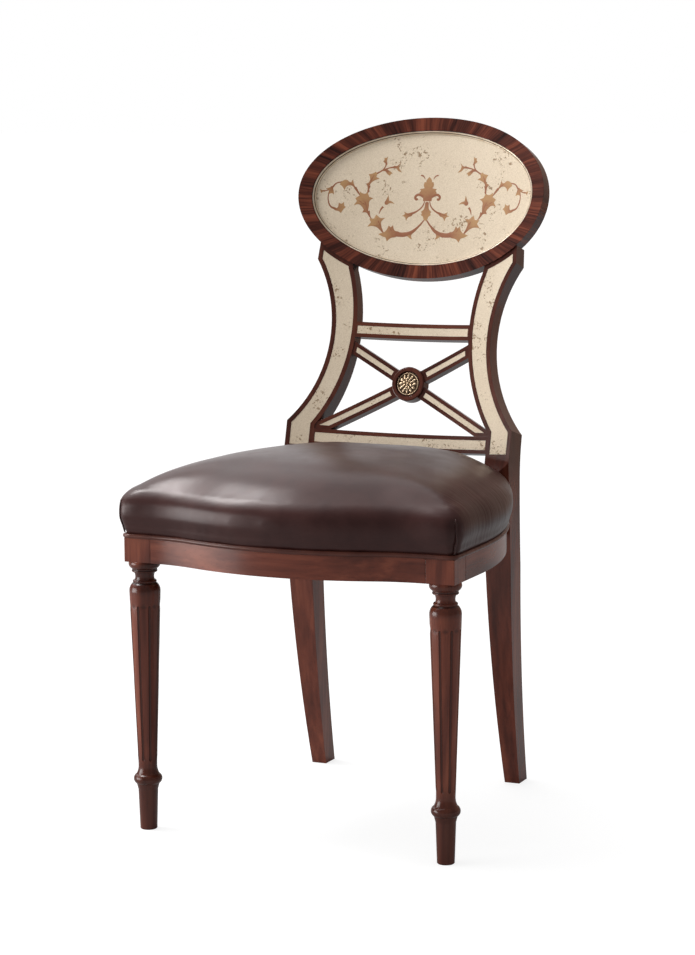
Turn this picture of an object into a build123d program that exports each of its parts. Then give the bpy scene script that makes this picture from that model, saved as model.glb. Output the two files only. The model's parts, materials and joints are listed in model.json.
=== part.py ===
"""Formal dining side chair: turned and fluted front legs, sabre back posts, an oval mirror-glass back
over a cross lattice, and a bow-fronted leather seat. Millimetres, +Z up. The chair faces -Y, stands on
Z = 0, and its origin is the middle of its box on the floor."""
import os
from math import asin, atan, atan2, cos, radians, sin, sqrt, tan

from build123d import *

os.makedirs("parts", exist_ok=True)

# Seat frame
rail_bottom = 388.5
rail_height = 34.0
rail_thickness = 23.0
front_bow = 35.5
bow_turn = 135.0
side_straight_end = -168.5
side_meet = 16.5
back_rail_front = 139.0

# Front legs
leg_x = 228.75
leg_y = -241.0
block_size = 42.0
block_ease = 1.5
foot_radius = 12.2
foot_ease = 1.0
foot_height = 58.0
foot_top_radius = 14.1
collar_radius = 20.4
collar_height = 73.5
collar_root = 16.4
collar_half_height = 7.0
ankle_radius = 13.4
ankle_height = 93.0
cap_radius = 22.1
cap_drop = 43.5
cap_lip = 10.5
cap_lip_radius = 18.5
neck_radius = 13.4
neck_drop = 21.5
step_radius = 17.7
step_drop = 13.0
step_height = 2.0
ring_radius = 22.4
ring_drop = 5.0
flute_count = 8
flute_width = 4.4
flute_depth = 1.5
flute_bottom_gap = 7.0
flute_top_gap = 19.0

# Back posts
post_outer = 182.0
post_inner = 140.5
post_foot_outer = 172.75
post_foot_inner = 149.3
post_foot_front = 195.0
post_foot_back = 228.0
post_knee_height = 225.0
post_knee_front = 145.5
post_knee_back = 184.5
post_knee_inner = 143.8
post_neck_drop = 48.5
post_neck_front = 131.5
post_seat_front = 120.5
post_seat_back = 168.6
post_seat_rise = 47.5
post_bend_radius = 240.0
stile_depth = 17.95
stile_rake = 14.04
splice_drop = 32.5

# Curved and raked back, drawn on a plane through the middle of its face
back_y = 175.0
back_rise = 113.0
back_rake = 15.33
back_radius = 650.0
lattice_thickness = 20.0
outer_kink = -62.0
inner_kink = -66.0
waist_v = 77.0
waist_outer = 130.0
waist_inner = 92.0
shoulder_u = 161.5
shoulder_v = 189.0
horn_lean = 6.5
horn_inner_u = 107.0
horn_inner_v = 180.0

# Oval
oval_v = 290.3
oval_half_width = 199.3
oval_half_height = 124.4
oval_band = 20.0
oval_proud = 3.0
oval_thickness = 25.0
bead_width = 4.6
bead_set_back = 0.8
panel_depth = 5.0
panel_thickness = 4.0
backing_thickness = 6.0
rebate = 5.0

# Lattice
upper_rail_v = 84.75
upper_rail_height = 23.5
lower_rail_v = -84.0
lower_rail_height = 26.0
arm_width = 18.5
arm_angle = 29.0
arm_set_back = 1.0
arm_thickness = 17.0
cross_v = 4.7
roundel_radius = 26.0
roundel_proud = 3.0
roundel_thickness = 21.0
roundel_ease = 2.0
recess_radius = 19.5
recess_depth = 4.0
rosette_radius = 17.5
rosette_rim = 2.2
rosette_height = 3.2
rosette_stem = 2.4
petal_count = 12
petal_groove = 1.6
boss_radius = 4.4

# Mirror-glass inlays
inlay_thickness = 2.0
inlay_set_back = 0.3
inlay_border = 6.5
inlay_bottom = -97.5
strip_border = 5.75
arm_strip_border = 5.5
strip_end = 1.8

# Joinery
tenon_length = 16.0
tenon_thickness = 9.0
tenon_shoulder = 5.0
dowel_radius = 3.0
dowel_length = 20.0
screw_radius = 2.2
screw_length = 46.0
screw_head_radius = 4.4
screw_head_height = 2.4
corner_block_height = 24.0
corner_block_drop = 4.0
corner_block_reach = 70.0
seat_screw_inset = 15.0
fit = 0.15

# Upholstery
board_thickness = 12.0
leather = 2.0
welt_radius = 3.3
welt_overhang = 1.0
seat_corner = 9.0
seat_rear = 164.5
seat_rear_corner = 25.0
seat_bulge = 8.4
seat_side = 64.5
seat_crown = 47.0
crown_power = 3.4
crown_centre = -105.0
turn_under = 30.0
dust_cover_thickness = 0.8
post_clearance = 0.5

# Places that follow from the sizes above
rail_top = rail_bottom + rail_height
cap_height = rail_bottom - cap_drop
neck_height = rail_bottom - neck_drop
ring_height = rail_bottom - ring_drop
flute_bottom = ankle_height + flute_bottom_gap
flute_top = cap_height - flute_top_gap
seat_rim = rail_top + seat_side
block_half = block_size / 2
front_face = leg_y - block_half
side_face = leg_x + block_half
bow_half = leg_x - block_half
bow_angle = 2 * atan(front_bow / bow_half)
bow_end_radius = (bow_half - bow_turn) / sin(bow_angle)
bow_turn_y = front_face - bow_end_radius * (1 - cos(bow_angle))
back_z = seat_rim + back_rise
splice_v = inner_kink - splice_drop
post_splice = back_z + splice_v * cos(radians(back_rake))
stile_low = splice_v - splice_drop / 2
post_neck_height = rail_bottom - post_neck_drop
post_seat_height = rail_top + post_seat_rise
back_plane = Plane(
    origin=(0, back_y, back_z),
    x_dir=(1, 0, 0),
    z_dir=(0, -cos(radians(back_rake)), sin(radians(back_rake))),
)
back_reach = 70.0
oval_front = -oval_proud
panel_front = oval_front + panel_depth
oval_back = oval_front + oval_thickness
roundel_back = roundel_thickness - roundel_proud
lip_half_width = oval_half_width - oval_band
lip_half_height = oval_half_height - oval_band


def finish(piece, label):
    """Label a finished piece and write its file."""
    piece.part.label = label
    export_step(piece.part, f"parts/{label}.step")


def post_front_at(height):
    """Where the leaning front of a post stands at a height between its neck and the seat's top."""
    share = (height - post_neck_height) / (post_splice - post_neck_height)
    return post_neck_front + share * (post_seat_front - post_neck_front)


# The side of the seat: straight from the front, then one arc that ends on the front of the post
post_front = post_front_at(rail_bottom)
meet_rise = post_front - side_straight_end
side_run = side_face - post_outer + side_meet
side_radius = (side_run**2 + meet_rise**2) / (2 * side_run)
side_centre = side_face - side_radius


def sag(u):
    """How far the curved face stands in front of the back plane at a distance from the middle."""
    return back_radius - sqrt(back_radius**2 - u**2)


def back_slab(front, back):
    """The curved sheet between two depths behind the face of the back."""
    low = stile_low - 100
    high = oval_v + oval_half_height + 20
    across = Plane(
        origin=back_plane.from_local_coords((0, low, 0)),
        x_dir=(1, 0, 0),
        z_dir=back_plane.y_dir,
    )
    with BuildPart() as slab:
        with BuildSketch(across):
            with Locations((0, -back_radius)):
                Circle(back_radius + back)
                Circle(back_radius + front, mode=Mode.SUBTRACT)
        extrude(amount=high - low)
    return slab.part


def curved(face, front, back):
    """A drawing on the back plane given the back's curve, between two depths."""
    with BuildPart() as block:
        with BuildSketch(back_plane):
            add(face)
        extrude(amount=back_reach, both=True)
        add(back_slab(front, back), mode=Mode.INTERSECT)
    return block.part


# Outlines on the back plane
def oval_outline(half_width, half_height):
    with BuildSketch() as oval:
        with Locations((0, oval_v)):
            Ellipse(half_width, half_height)
    return oval.sketch


def stile_sides(low):
    """Right stile from a low edge to past the oval: an hourglass side with a horn at the shoulder."""
    with BuildSketch() as stile:
        with BuildLine():
            outer = Line((post_outer, low), (post_outer, outer_kink))
            waist = ThreePointArc(outer @ 1, (waist_outer, waist_v), (shoulder_u, shoulder_v))
            horn = Polyline(
                waist @ 1,
                (shoulder_u - horn_lean, oval_v),
                (horn_inner_u + horn_lean, oval_v),
                (horn_inner_u, horn_inner_v),
            )
            inner = ThreePointArc(horn @ 1, (waist_inner, waist_v), (post_inner, inner_kink))
            Polyline(inner @ 1, (post_inner, low), outer @ 0)
        make_face()
    return stile.sketch


def stile_outline(low):
    with BuildSketch() as stile:
        add(stile_sides(low))
        add(oval_outline(oval_half_width, oval_half_height), mode=Mode.SUBTRACT)
    return stile.sketch


def stile_inlay(gap):
    """The mirror in a stile, a border in from its edges and from the oval."""
    border = inlay_border + gap
    with BuildSketch() as inlay:
        add(stile_sides(inlay_bottom - inlay_border))
        offset(amount=-border, kind=Kind.INTERSECTION, mode=Mode.REPLACE)
        add(oval_outline(oval_half_width + border, oval_half_height + border), mode=Mode.SUBTRACT)
    return inlay.sketch


def both_stiles():
    with BuildSketch() as pair:
        add(stile_outline(stile_low))
        mirror(about=Plane.YZ)
    return pair.sketch


def rail_outline(v, height, half_length):
    """Cross rail cut to the stiles at both ends."""
    with BuildSketch() as rail:
        with Locations((0, v)):
            Rectangle(2 * half_length, height)
        add(both_stiles(), mode=Mode.SUBTRACT)
    return rail.sketch


def strip_outline(v, height, half_length):
    """The mirror strip in a cross rail, which runs almost to the stiles."""
    with BuildSketch() as strip:
        add(rail_outline(v, height, half_length))
        offset(amount=-strip_end, kind=Kind.INTERSECTION, mode=Mode.REPLACE)
        with Locations((0, v)):
            Rectangle(2 * half_length, height - 2 * strip_border, mode=Mode.INTERSECT)
    return strip.sketch


def tenon_outline(v, height, half_length, gap):
    """The rail's tenons, which run past the stiles' inner edges."""
    with BuildSketch() as tenons:
        with Locations((0, v)):
            Rectangle(2 * (half_length + gap), height - 2 * tenon_shoulder + 2 * gap)
    return tenons.sketch


def arm_outline(angle, length):
    """One arm of the cross from the roundel out to the stile and the lower rail."""
    with BuildSketch() as arm:
        with Locations((0, cross_v)):
            Rectangle(length, arm_width, rotation=angle, align=(Align.MIN, Align.CENTER))
            Circle(roundel_radius, mode=Mode.SUBTRACT)
        add(both_stiles(), mode=Mode.SUBTRACT)
        with Locations((0, lower_rail_v)):
            Rectangle(2 * post_inner, lower_rail_height, mode=Mode.SUBTRACT)
    return arm.sketch


def shrunk(face, amount):
    with BuildSketch() as smaller:
        add(face)
        offset(amount=-amount, kind=Kind.INTERSECTION, mode=Mode.REPLACE)
    return smaller.sketch


def turned_peg(centre, direction, radius, length):
    """A round peg along a direction, its middle at a centre."""
    with BuildPart() as peg:
        with BuildSketch(Plane(origin=centre, z_dir=direction)):
            Circle(radius)
        extrude(amount=length / 2, both=True)
    return peg.part


# Plan of the seat
def plain(x, y):
    return (x, y)


def draw_bow(grow, at=plain):
    """Serpentine front edge: a round bow that turns back into the flat of each leg block."""
    half = bow_angle / 2
    turn = (bow_turn + grow * sin(bow_angle), bow_turn_y - grow * cos(bow_angle))
    end_radius = bow_end_radius - grow
    middle_x = bow_half - end_radius * sin(half)
    middle_y = front_face - bow_end_radius + end_radius * cos(half)
    ThreePointArc(
        at(-turn[0], turn[1]),
        at(0, front_face - front_bow - grow),
        at(turn[0], turn[1]),
    )
    for s in (-1, 1):
        ThreePointArc(
            at(s * turn[0], turn[1]),
            at(s * middle_x, middle_y),
            at(s * bow_half, front_face - grow),
        )


def side_point(grow, angle):
    """A point of the side's arc, an angle on from where the straight part ends."""
    radius = side_radius + grow
    return (side_centre + radius * cos(angle), side_straight_end + radius * sin(angle))


def draw_front_and_sides(grow, end_angle, at=plain):
    """The seat's edge from one back corner round the front to the other."""
    corner = seat_corner + grow
    corner_x = side_face - seat_corner
    corner_y = front_face + seat_corner
    side_middle = side_point(grow, end_angle / 2)
    side_end = side_point(grow, end_angle)
    draw_bow(grow, at)
    for s in (-1, 1):
        Line(at(s * bow_half, front_face - grow), at(s * corner_x, front_face - grow))
        ThreePointArc(
            at(s * corner_x, front_face - grow),
            at(s * (corner_x + corner * sqrt(0.5)), corner_y - corner * sqrt(0.5)),
            at(s * (side_face + grow), corner_y),
        )
        Line(at(s * (side_face + grow), corner_y), at(s * (side_face + grow), side_straight_end))
        ThreePointArc(
            at(s * (side_face + grow), side_straight_end),
            at(s * side_middle[0], side_middle[1]),
            at(s * side_end[0], side_end[1]),
        )


def seat_outline(grow, size=1.0):
    """Seat plan grown outwards by an amount, then drawn smaller about the middle of the crown."""
    def at(x, y):
        return (x * size, crown_centre + (y - crown_centre) * size)

    rear_y = seat_rear - seat_rear_corner
    rear_rise = rear_y - side_straight_end
    rear_run = sqrt((side_radius - seat_rear_corner) ** 2 - rear_rise**2)
    rear_angle = atan2(rear_rise, rear_run)
    rear_x = side_centre + rear_run
    rear_middle = (rear_angle + radians(90)) / 2
    corner = seat_rear_corner + grow
    side_end = side_point(grow, rear_angle)
    with BuildSketch() as plan:
        with BuildLine():
            draw_front_and_sides(grow, rear_angle, at)
            for s in (-1, 1):
                ThreePointArc(
                    at(s * side_end[0], side_end[1]),
                    at(s * (rear_x + corner * cos(rear_middle)), rear_y + corner * sin(rear_middle)),
                    at(s * rear_x, rear_y + corner),
                )
            Line(at(-rear_x, rear_y + corner), at(rear_x, rear_y + corner))
        make_face()
    return plan.sketch


def box_between(low, high):
    """A box between two corners."""
    middle = tuple((a + b) / 2 for a, b in zip(low, high))
    size = tuple(b - a for a, b in zip(low, high))
    with BuildPart() as block:
        with Locations(middle):
            Box(*size)
    return block.part


# Tenons of the seat rails, and with a gap the mortises that take them
rail_low = rail_bottom + tenon_shoulder
rail_high = rail_top - tenon_shoulder
block_back = leg_y + block_half
bow_tenon_y = front_face + rail_thickness / 2
side_tenon_x = side_face - rail_thickness / 2
side_inner_radius = side_radius - rail_thickness
meet_outer = post_outer - side_meet
meet_inner = side_centre + sqrt(side_inner_radius**2 - meet_rise**2)
rear_tenon_x = (meet_outer + meet_inner) / 2
back_tenon_y = back_rail_front + rail_thickness / 2
half_tenon = tenon_thickness / 2


def bow_tenon(gap):
    deep = bow_half + tenon_length + gap
    return box_between(
        (-deep, bow_tenon_y - half_tenon - gap, rail_low - gap),
        (deep, bow_tenon_y + half_tenon + gap, rail_high + gap),
    )


def side_front_tenon(gap):
    return box_between(
        (side_tenon_x - half_tenon - gap, block_back - tenon_length - gap, rail_low - gap),
        (side_tenon_x + half_tenon + gap, block_back + tenon_length, rail_high + gap),
    )


def side_rear_tenon(gap):
    return box_between(
        (rear_tenon_x - half_tenon - gap, post_front - tenon_length, rail_low - gap),
        (rear_tenon_x + half_tenon + gap, post_front + tenon_length + gap, rail_high + gap),
    )


def back_tenon(gap):
    deep = post_inner + tenon_length + gap
    return box_between(
        (-deep, back_tenon_y - half_tenon - gap, rail_low - gap),
        (deep, back_tenon_y + half_tenon + gap, rail_high + gap),
    )


# Front legs: a turned and fluted shaft under a square block
shaft_lean = atan((cap_radius - ankle_radius) / (cap_height - ankle_height))
flute_half = (flute_top - flute_bottom - flute_width) / 2
flute_middle = (flute_top + flute_bottom) / 2
shaft_radius = ankle_radius + (flute_middle - ankle_height) * tan(shaft_lean)
flute_centre = shaft_radius + (flute_width / 2 - flute_depth) / cos(shaft_lean)
with BuildPart() as flute:
    flute_axis = Plane(
        origin=(0, -flute_centre, flute_middle),
        z_dir=(0, -sin(shaft_lean), cos(shaft_lean)),
    )
    with Locations(flute_axis):
        Cylinder(flute_width / 2, 2 * flute_half)
        with Locations((0, 0, flute_half), (0, 0, -flute_half)):
            Sphere(flute_width / 2)

with BuildPart() as leg_block:
    with Locations((0, 0, rail_bottom)):
        Box(block_size, block_size, rail_height, align=(Align.CENTER, Align.CENTER, Align.MIN))
    fillet(leg_block.edges().filter_by(Axis.Z), block_ease)

section_turn = radians(80 / flute_count)
leg_section = Plane(
    origin=(0, 0, 0),
    x_dir=(cos(section_turn), sin(section_turn), 0),
    z_dir=(sin(section_turn), -cos(section_turn), 0),
)
with BuildPart() as turned_leg:
    with BuildSketch(leg_section):
        with BuildLine():
            foot = Polyline(
                (0, 0),
                (foot_radius - foot_ease, 0),
                (foot_radius, foot_ease),
                (foot_top_radius, foot_height),
                (collar_root, collar_height - collar_half_height),
            )
            collar = ThreePointArc(
                foot @ 1,
                (collar_radius, collar_height),
                (collar_root, collar_height + collar_half_height),
            )
            ankle = TangentArc(
                (ankle_radius, ankle_height),
                collar @ 1,
                tangent=(-sin(shaft_lean), -cos(shaft_lean)),
            )
            shaft = Line(ankle @ 0, (cap_radius, cap_height))
            cap = TangentArc(
                shaft @ 1,
                (cap_lip_radius, cap_height + cap_lip),
                tangent=(sin(shaft_lean), cos(shaft_lean)),
            )
            neck = ThreePointArc(
                cap @ 1,
                (neck_radius, neck_height),
                (step_radius, rail_bottom - step_drop),
            )
            step = Line(neck @ 1, (step_radius, rail_bottom - step_drop + step_height))
            ring = ThreePointArc(
                step @ 1,
                (ring_radius, ring_height),
                (ring_radius - 1, rail_bottom),
            )
            Polyline(ring @ 1, (0, rail_bottom), (0, 0))
        make_face()
    revolve(axis=Axis.Z)
    with PolarLocations(0, flute_count):
        add(flute.part, mode=Mode.SUBTRACT)
    add(leg_block.part)

# Back post: a sabre leg that runs up into a raked, hourglass stile with a hollow face
rake_line = Vector(sin(radians(stile_rake)), cos(radians(stile_rake)))
rake_point = Vector(
    back_y + stile_depth * cos(radians(back_rake)), back_z - stile_depth * sin(radians(back_rake))
)
with BuildPart() as post_blank:
    with BuildSketch(Plane.XZ):
        with BuildLine():
            outside = Polyline(
                (post_foot_inner, 0),
                (post_foot_outer, 0),
                (post_outer, post_neck_height),
                (post_outer, post_splice),
                (post_inner, post_splice),
            )
            ThreePointArc(outside @ 1, (post_knee_inner, post_knee_height), outside @ 0)
        make_face()
    extrude(amount=2 * post_foot_back, both=True)
    with BuildSketch(back_plane):
        add(stile_outline(stile_low))
    extrude(amount=2 * back_reach, both=True)
    with BuildSketch(Plane.YZ) as post_side:
        with BuildLine():
            sabre = ThreePointArc(
                (post_foot_back, 0),
                (post_knee_back, post_knee_height),
                (post_seat_back, post_seat_height),
            )
            rise = sabre % 1
            to_rake = rake_point - sabre @ 1
            turn = to_rake.cross(rake_line).Z / rise.cross(rake_line).Z
            bend = Line(sabre @ 1, sabre @ 1 + rise * turn)
            upper = Line(bend @ 1, bend @ 1 + rake_line * (oval_v - inner_kink))
            front = Polyline(
                upper @ 1,
                (post_seat_front, (upper @ 1).Y),
                (post_seat_front, post_splice),
                (post_neck_front, post_neck_height),
            )
            ThreePointArc(
                front @ 1,
                (post_knee_front, post_knee_height),
                (post_foot_front, 0),
            )
            Line((post_foot_front, 0), (post_foot_back, 0))
        make_face()
        bend_limit = 0.95 * turn / tan(radians(stile_rake) / 2)
        fillet(post_side.vertices().sort_by_distance(bend @ 1)[0], min(post_bend_radius, bend_limit))
    extrude(amount=post_outer + fit, mode=Mode.INTERSECT)
    add(back_slab(back_reach - back_radius, 0), mode=Mode.SUBTRACT)

# Seat rails: the bow front, two curved sides cut to the leaning posts, and a straight back
with BuildPart() as behind_posts:
    with BuildSketch(Plane.YZ):
        with BuildLine():
            Polyline(
                (post_neck_front, post_neck_height),
                (post_seat_front, post_splice),
                (post_foot_back, post_splice),
                (post_foot_back, post_neck_height),
                close=True,
            )
        make_face()
    extrude(amount=side_face, both=True)

with BuildPart() as front_rail:
    with BuildSketch(Plane.XY.offset(rail_bottom)):
        with BuildLine():
            draw_bow(0)
            draw_bow(-rail_thickness)
            for s in (-1, 1):
                Line((s * bow_half, front_face), (s * bow_half, front_face + rail_thickness))
        make_face()
    extrude(amount=rail_height)
    with Locations((-bow_half, bow_tenon_y, rail_low), (bow_half, bow_tenon_y, rail_low)):
        Box(
            2 * tenon_length,
            tenon_thickness,
            rail_high - rail_low,
            align=(Align.CENTER, Align.CENTER, Align.MIN),
        )

with BuildPart() as side_rail:
    with BuildSketch(Plane.XY.offset(rail_bottom)):
        with BuildLine():
            end_angle = asin((meet_rise + tenon_length) / side_inner_radius)
            ends = []
            for grow in (0, -rail_thickness):
                start = Line((side_face + grow, block_back), (side_face + grow, side_straight_end))
                arc = ThreePointArc(
                    start @ 1,
                    side_point(grow, end_angle / 2),
                    side_point(grow, end_angle),
                )
                ends.append(arc @ 1)
            Line(*ends)
            Line((side_face, block_back), (side_face - rail_thickness, block_back))
        make_face()
    extrude(amount=rail_height)
    add(behind_posts.part, mode=Mode.SUBTRACT)
    add(side_front_tenon(0))
    add(side_rear_tenon(0))

with BuildPart() as back_rail:
    with Locations((0, back_rail_front, rail_bottom)):
        Box(
            2 * post_knee_inner,
            rail_thickness,
            rail_height,
            align=(Align.CENTER, Align.MIN, Align.MIN),
        )
    add(post_blank.part, mode=Mode.SUBTRACT)
    add(post_blank.part.mirror(Plane.YZ), mode=Mode.SUBTRACT)
    add(back_tenon(0))


# Upholstered seat: a board, a foam pad and a leather cover drawn in at the welt and crowned on top
base_top = rail_top + 2 * welt_radius
tuck = welt_overhang - welt_radius
side_swell = ((0.0, 0.0), (0.14, 0.52), (0.34, 0.86), (0.62, 1.0), (0.86, 0.8), (1.0, 0.45))
crown_sizes = (0.96, 0.88, 0.76, 0.58, 0.34)


def seat_body(inset):
    """The padded seat as one solid, drawn in all round by an inset."""
    bottom = rail_top + inset
    rim = seat_rim - inset
    with BuildPart() as body:
        with BuildSketch(Plane.XY.offset(bottom)):
            add(seat_outline(tuck - inset))
        extrude(amount=base_top - bottom)
        for share, swell in side_swell:
            grow = tuck - inset + swell * (seat_bulge - tuck)
            with BuildSketch(Plane.XY.offset(base_top + share * (rim - base_top))):
                add(seat_outline(grow))
        for size in crown_sizes:
            rise = seat_crown * (1 - size**crown_power)
            with BuildSketch(Plane.XY.offset(rim + rise)):
                add(seat_outline(grow, size))
        loft(ruled=True)
    return body.part


def post_notch(gap):
    """The room that the seat leaves for the right post, with a gap round it."""
    rear = seat_rear + 2 * seat_bulge + gap
    top = seat_rim + seat_crown
    with BuildPart() as notch:
        with BuildSketch(Plane.YZ.offset(post_inner - gap)):
            with BuildLine():
                Polyline(
                    (post_front_at(rail_bottom) - gap, rail_bottom),
                    (post_front_at(top) - gap, top),
                    (rear, top),
                    (rear, rail_bottom),
                    close=True,
                )
            make_face()
        extrude(amount=post_outer - post_inner + 2 * gap)
    return notch.part


def notched(body, gap):
    """A seat layer cut round both posts."""
    notch = post_notch(gap)
    with BuildPart() as layer:
        add(body)
        add(notch, mode=Mode.SUBTRACT)
        add(notch.mirror(Plane.YZ), mode=Mode.SUBTRACT)
    return layer.part


# Screws: each is a shank and a domed head on a plane, driven along the plane's direction
def screw(plane, length, gap=0.0):
    with BuildPart() as piece:
        with BuildSketch(plane):
            Circle(screw_radius + gap)
        extrude(amount=length + gap)
        if gap == 0:
            with BuildSketch(plane):
                Circle(screw_head_radius)
            extrude(amount=-screw_head_height)
    return piece.part


block_bottom = rail_top - corner_block_drop - corner_block_height
block_middle = block_bottom + corner_block_height / 2
board_bottom = rail_top + leather
front_corner_x = side_face - rail_thickness / 2
front_corner_y = front_face + rail_thickness / 2
front_reach = corner_block_reach + block_size
side_middle_radius = side_radius - rail_thickness / 2
rear_corner_y = back_rail_front + rail_thickness / 2
rear_corner_angle = asin((rear_corner_y - side_straight_end) / side_middle_radius)
rear_side_angle = asin((back_rail_front - corner_block_reach - side_straight_end) / side_middle_radius)
rear_corner = side_point(-rail_thickness / 2, rear_corner_angle)
rear_middle = side_point(-rail_thickness / 2, (rear_corner_angle + rear_side_angle) / 2)
rear_side = side_point(-rail_thickness / 2, rear_side_angle)
rear_left = (rear_corner[0] - corner_block_reach, rear_corner_y)
seat_screw_length = board_bottom + 0.75 * board_thickness - block_bottom
front_seat_screw = Plane(
    origin=(side_face - rail_thickness - seat_screw_inset, block_back + 2 * seat_screw_inset, block_bottom),
    z_dir=(0, 0, 1),
)
rear_seat_screw = Plane(
    origin=(post_inner - seat_screw_inset, back_rail_front - seat_screw_inset, block_bottom),
    z_dir=(0, 0, 1),
)
front_block_screw = Plane(
    origin=(front_corner_x - front_reach / 2, front_corner_y + front_reach / 2, block_middle),
    z_dir=(1, -1, 0),
)
rear_slope = (rear_corner_y - rear_side[1]) / (rear_side[0] - rear_left[0])
rear_screw_x = rear_left[0] + corner_block_reach / 2
rear_screw_y = rear_corner_y - rear_slope * (corner_block_reach / 2 - 1.5 * screw_head_radius)
rear_block_screw = Plane(origin=(rear_screw_x, rear_screw_y, block_middle), z_dir=(0, 1, 0))
rear_screw_length = back_rail_front - rear_screw_y + 0.75 * rail_thickness


def both_sides(*parts):
    """Parts of the right side together with their mirror images."""
    with BuildPart() as pair:
        for piece in parts:
            add(piece)
            add(piece.mirror(Plane.YZ))
    return pair.part


def spot_face(plane):
    """A round pocket that lets a screw's head lie below a slanting face."""
    with BuildPart() as pocket:
        with BuildSketch(plane):
            Circle(screw_head_radius + 4 * fit)
        extrude(amount=-corner_block_height)
    return pocket.part


def lattice_peg(u, v, along, depth, gap=0.0):
    """A dowel inside the back, its middle at a place on the back plane and a depth behind the face."""
    centre = back_plane.from_local_coords((u, v, sag(u) - depth))
    tip = back_plane.from_local_coords((u + along[0], v + along[1], sag(u) - depth))
    return turned_peg(centre, tip - centre, dowel_radius + gap, dowel_length + 2 * gap)


# Front legs in place, with mortises for the rails and a hole for the corner-block screw
with BuildPart() as front_leg_right:
    with Locations((leg_x, leg_y, 0)):
        add(turned_leg.part)
    add(bow_tenon(fit), mode=Mode.SUBTRACT)
    add(side_front_tenon(fit), mode=Mode.SUBTRACT)
    add(screw(front_block_screw, screw_length, fit), mode=Mode.SUBTRACT)
finish(front_leg_right, "front_leg_right")

with BuildPart() as front_leg_left:
    add(front_leg_right.part.mirror(Plane.YZ))
finish(front_leg_left, "front_leg_left")

# Back posts, mortised for four rails, bored for the oval's dowels and sunk for the mirror glass
tenon_front = (lattice_thickness - tenon_thickness) / 2
tenon_back = tenon_front + tenon_thickness
upper_half = waist_inner + tenon_length
lower_half = post_inner + tenon_length
oval_depth = (oval_front + oval_back) / 2
oval_peg_us = (waist_outer - 8, waist_outer + 13)


def oval_pegs(gap=0.0):
    pegs = []
    for u in oval_peg_us:
        edge = oval_v - oval_half_height * sqrt(1 - (u / oval_half_width) ** 2)
        pegs.append(lattice_peg(u, edge, (0, 1), oval_depth, gap))
    return pegs


with BuildPart() as back_post_right:
    add(post_blank.part)
    add(side_rear_tenon(fit), mode=Mode.SUBTRACT)
    add(back_tenon(fit), mode=Mode.SUBTRACT)
    for v, height, half in (
        (upper_rail_v, upper_rail_height, upper_half),
        (lower_rail_v, lower_rail_height, lower_half),
    ):
        mortise = curved(tenon_outline(v, height, half, fit), tenon_front - fit, tenon_back + fit)
        add(mortise, mode=Mode.SUBTRACT)
    add(curved(stile_inlay(0), -inlay_border, inlay_thickness), mode=Mode.SUBTRACT)
    add(oval_pegs(fit), mode=Mode.SUBTRACT)
finish(back_post_right, "back_post_right")

with BuildPart() as back_post_left:
    add(back_post_right.part.mirror(Plane.YZ))
finish(back_post_left, "back_post_left")

with BuildPart() as stile_mirror_right:
    add(curved(stile_inlay(fit), inlay_set_back, inlay_thickness))
finish(stile_mirror_right, "stile_mirror_right")

with BuildPart() as stile_mirror_left:
    add(stile_mirror_right.part.mirror(Plane.YZ))
finish(stile_mirror_left, "stile_mirror_left")

# Seat rails
finish(front_rail, "front_rail")
finish(side_rail, "side_rail_right")

with BuildPart() as side_rail_left:
    add(side_rail.part.mirror(Plane.YZ))
finish(side_rail_left, "side_rail_left")

with BuildPart() as bored_back_rail:
    add(back_rail.part)
    add(both_sides(screw(rear_block_screw, rear_screw_length, fit)), mode=Mode.SUBTRACT)
finish(bored_back_rail, "back_rail")

# Corner blocks, cut to the rails, the legs and the posts
def corner_block(plan, neighbours, holes):
    with BuildPart() as block:
        with BuildSketch(Plane.XY.offset(block_bottom)):
            add(plan)
        extrude(amount=corner_block_height)
        add(neighbours, mode=Mode.SUBTRACT)
        add(holes, mode=Mode.SUBTRACT)
    return block


with BuildSketch() as front_plan:
    with BuildLine():
        Polyline(
            (front_corner_x, front_corner_y),
            (front_corner_x - front_reach, front_corner_y),
            (front_corner_x, front_corner_y + front_reach),
            close=True,
        )
    make_face()

with BuildSketch() as rear_plan:
    with BuildLine():
        Polyline(rear_corner, rear_left, rear_side)
        ThreePointArc(rear_corner, rear_middle, rear_side)
    make_face()

front_holes = [
    screw(front_block_screw, screw_length, fit),
    screw(front_seat_screw, seat_screw_length, fit),
]
rear_holes = [
    screw(rear_block_screw, rear_screw_length, fit),
    screw(rear_seat_screw, seat_screw_length, fit),
    spot_face(rear_block_screw),
]
front_neighbours = [front_rail.part, side_rail.part, leg_block.part.moved(Location((leg_x, leg_y, 0)))]
rear_neighbours = [back_rail.part, side_rail.part, post_blank.part]
for place, plan, neighbours, holes in (
    ("front", front_plan.sketch, front_neighbours, front_holes),
    ("rear", rear_plan.sketch, rear_neighbours, rear_holes),
):
    right_block = corner_block(plan, neighbours, holes)
    finish(right_block, f"corner_block_{place}_right")
    with BuildPart() as left_block:
        add(right_block.part.mirror(Plane.YZ))
    finish(left_block, f"corner_block_{place}_left")

with BuildPart() as corner_block_screws:
    add(
        both_sides(
            screw(front_block_screw, screw_length), screw(rear_block_screw, rear_screw_length)
        )
    )
finish(corner_block_screws, "corner_block_screws")

with BuildPart() as seat_screws:
    add(
        both_sides(
            screw(front_seat_screw, seat_screw_length), screw(rear_seat_screw, seat_screw_length)
        )
    )
finish(seat_screws, "seat_screws")

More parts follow.
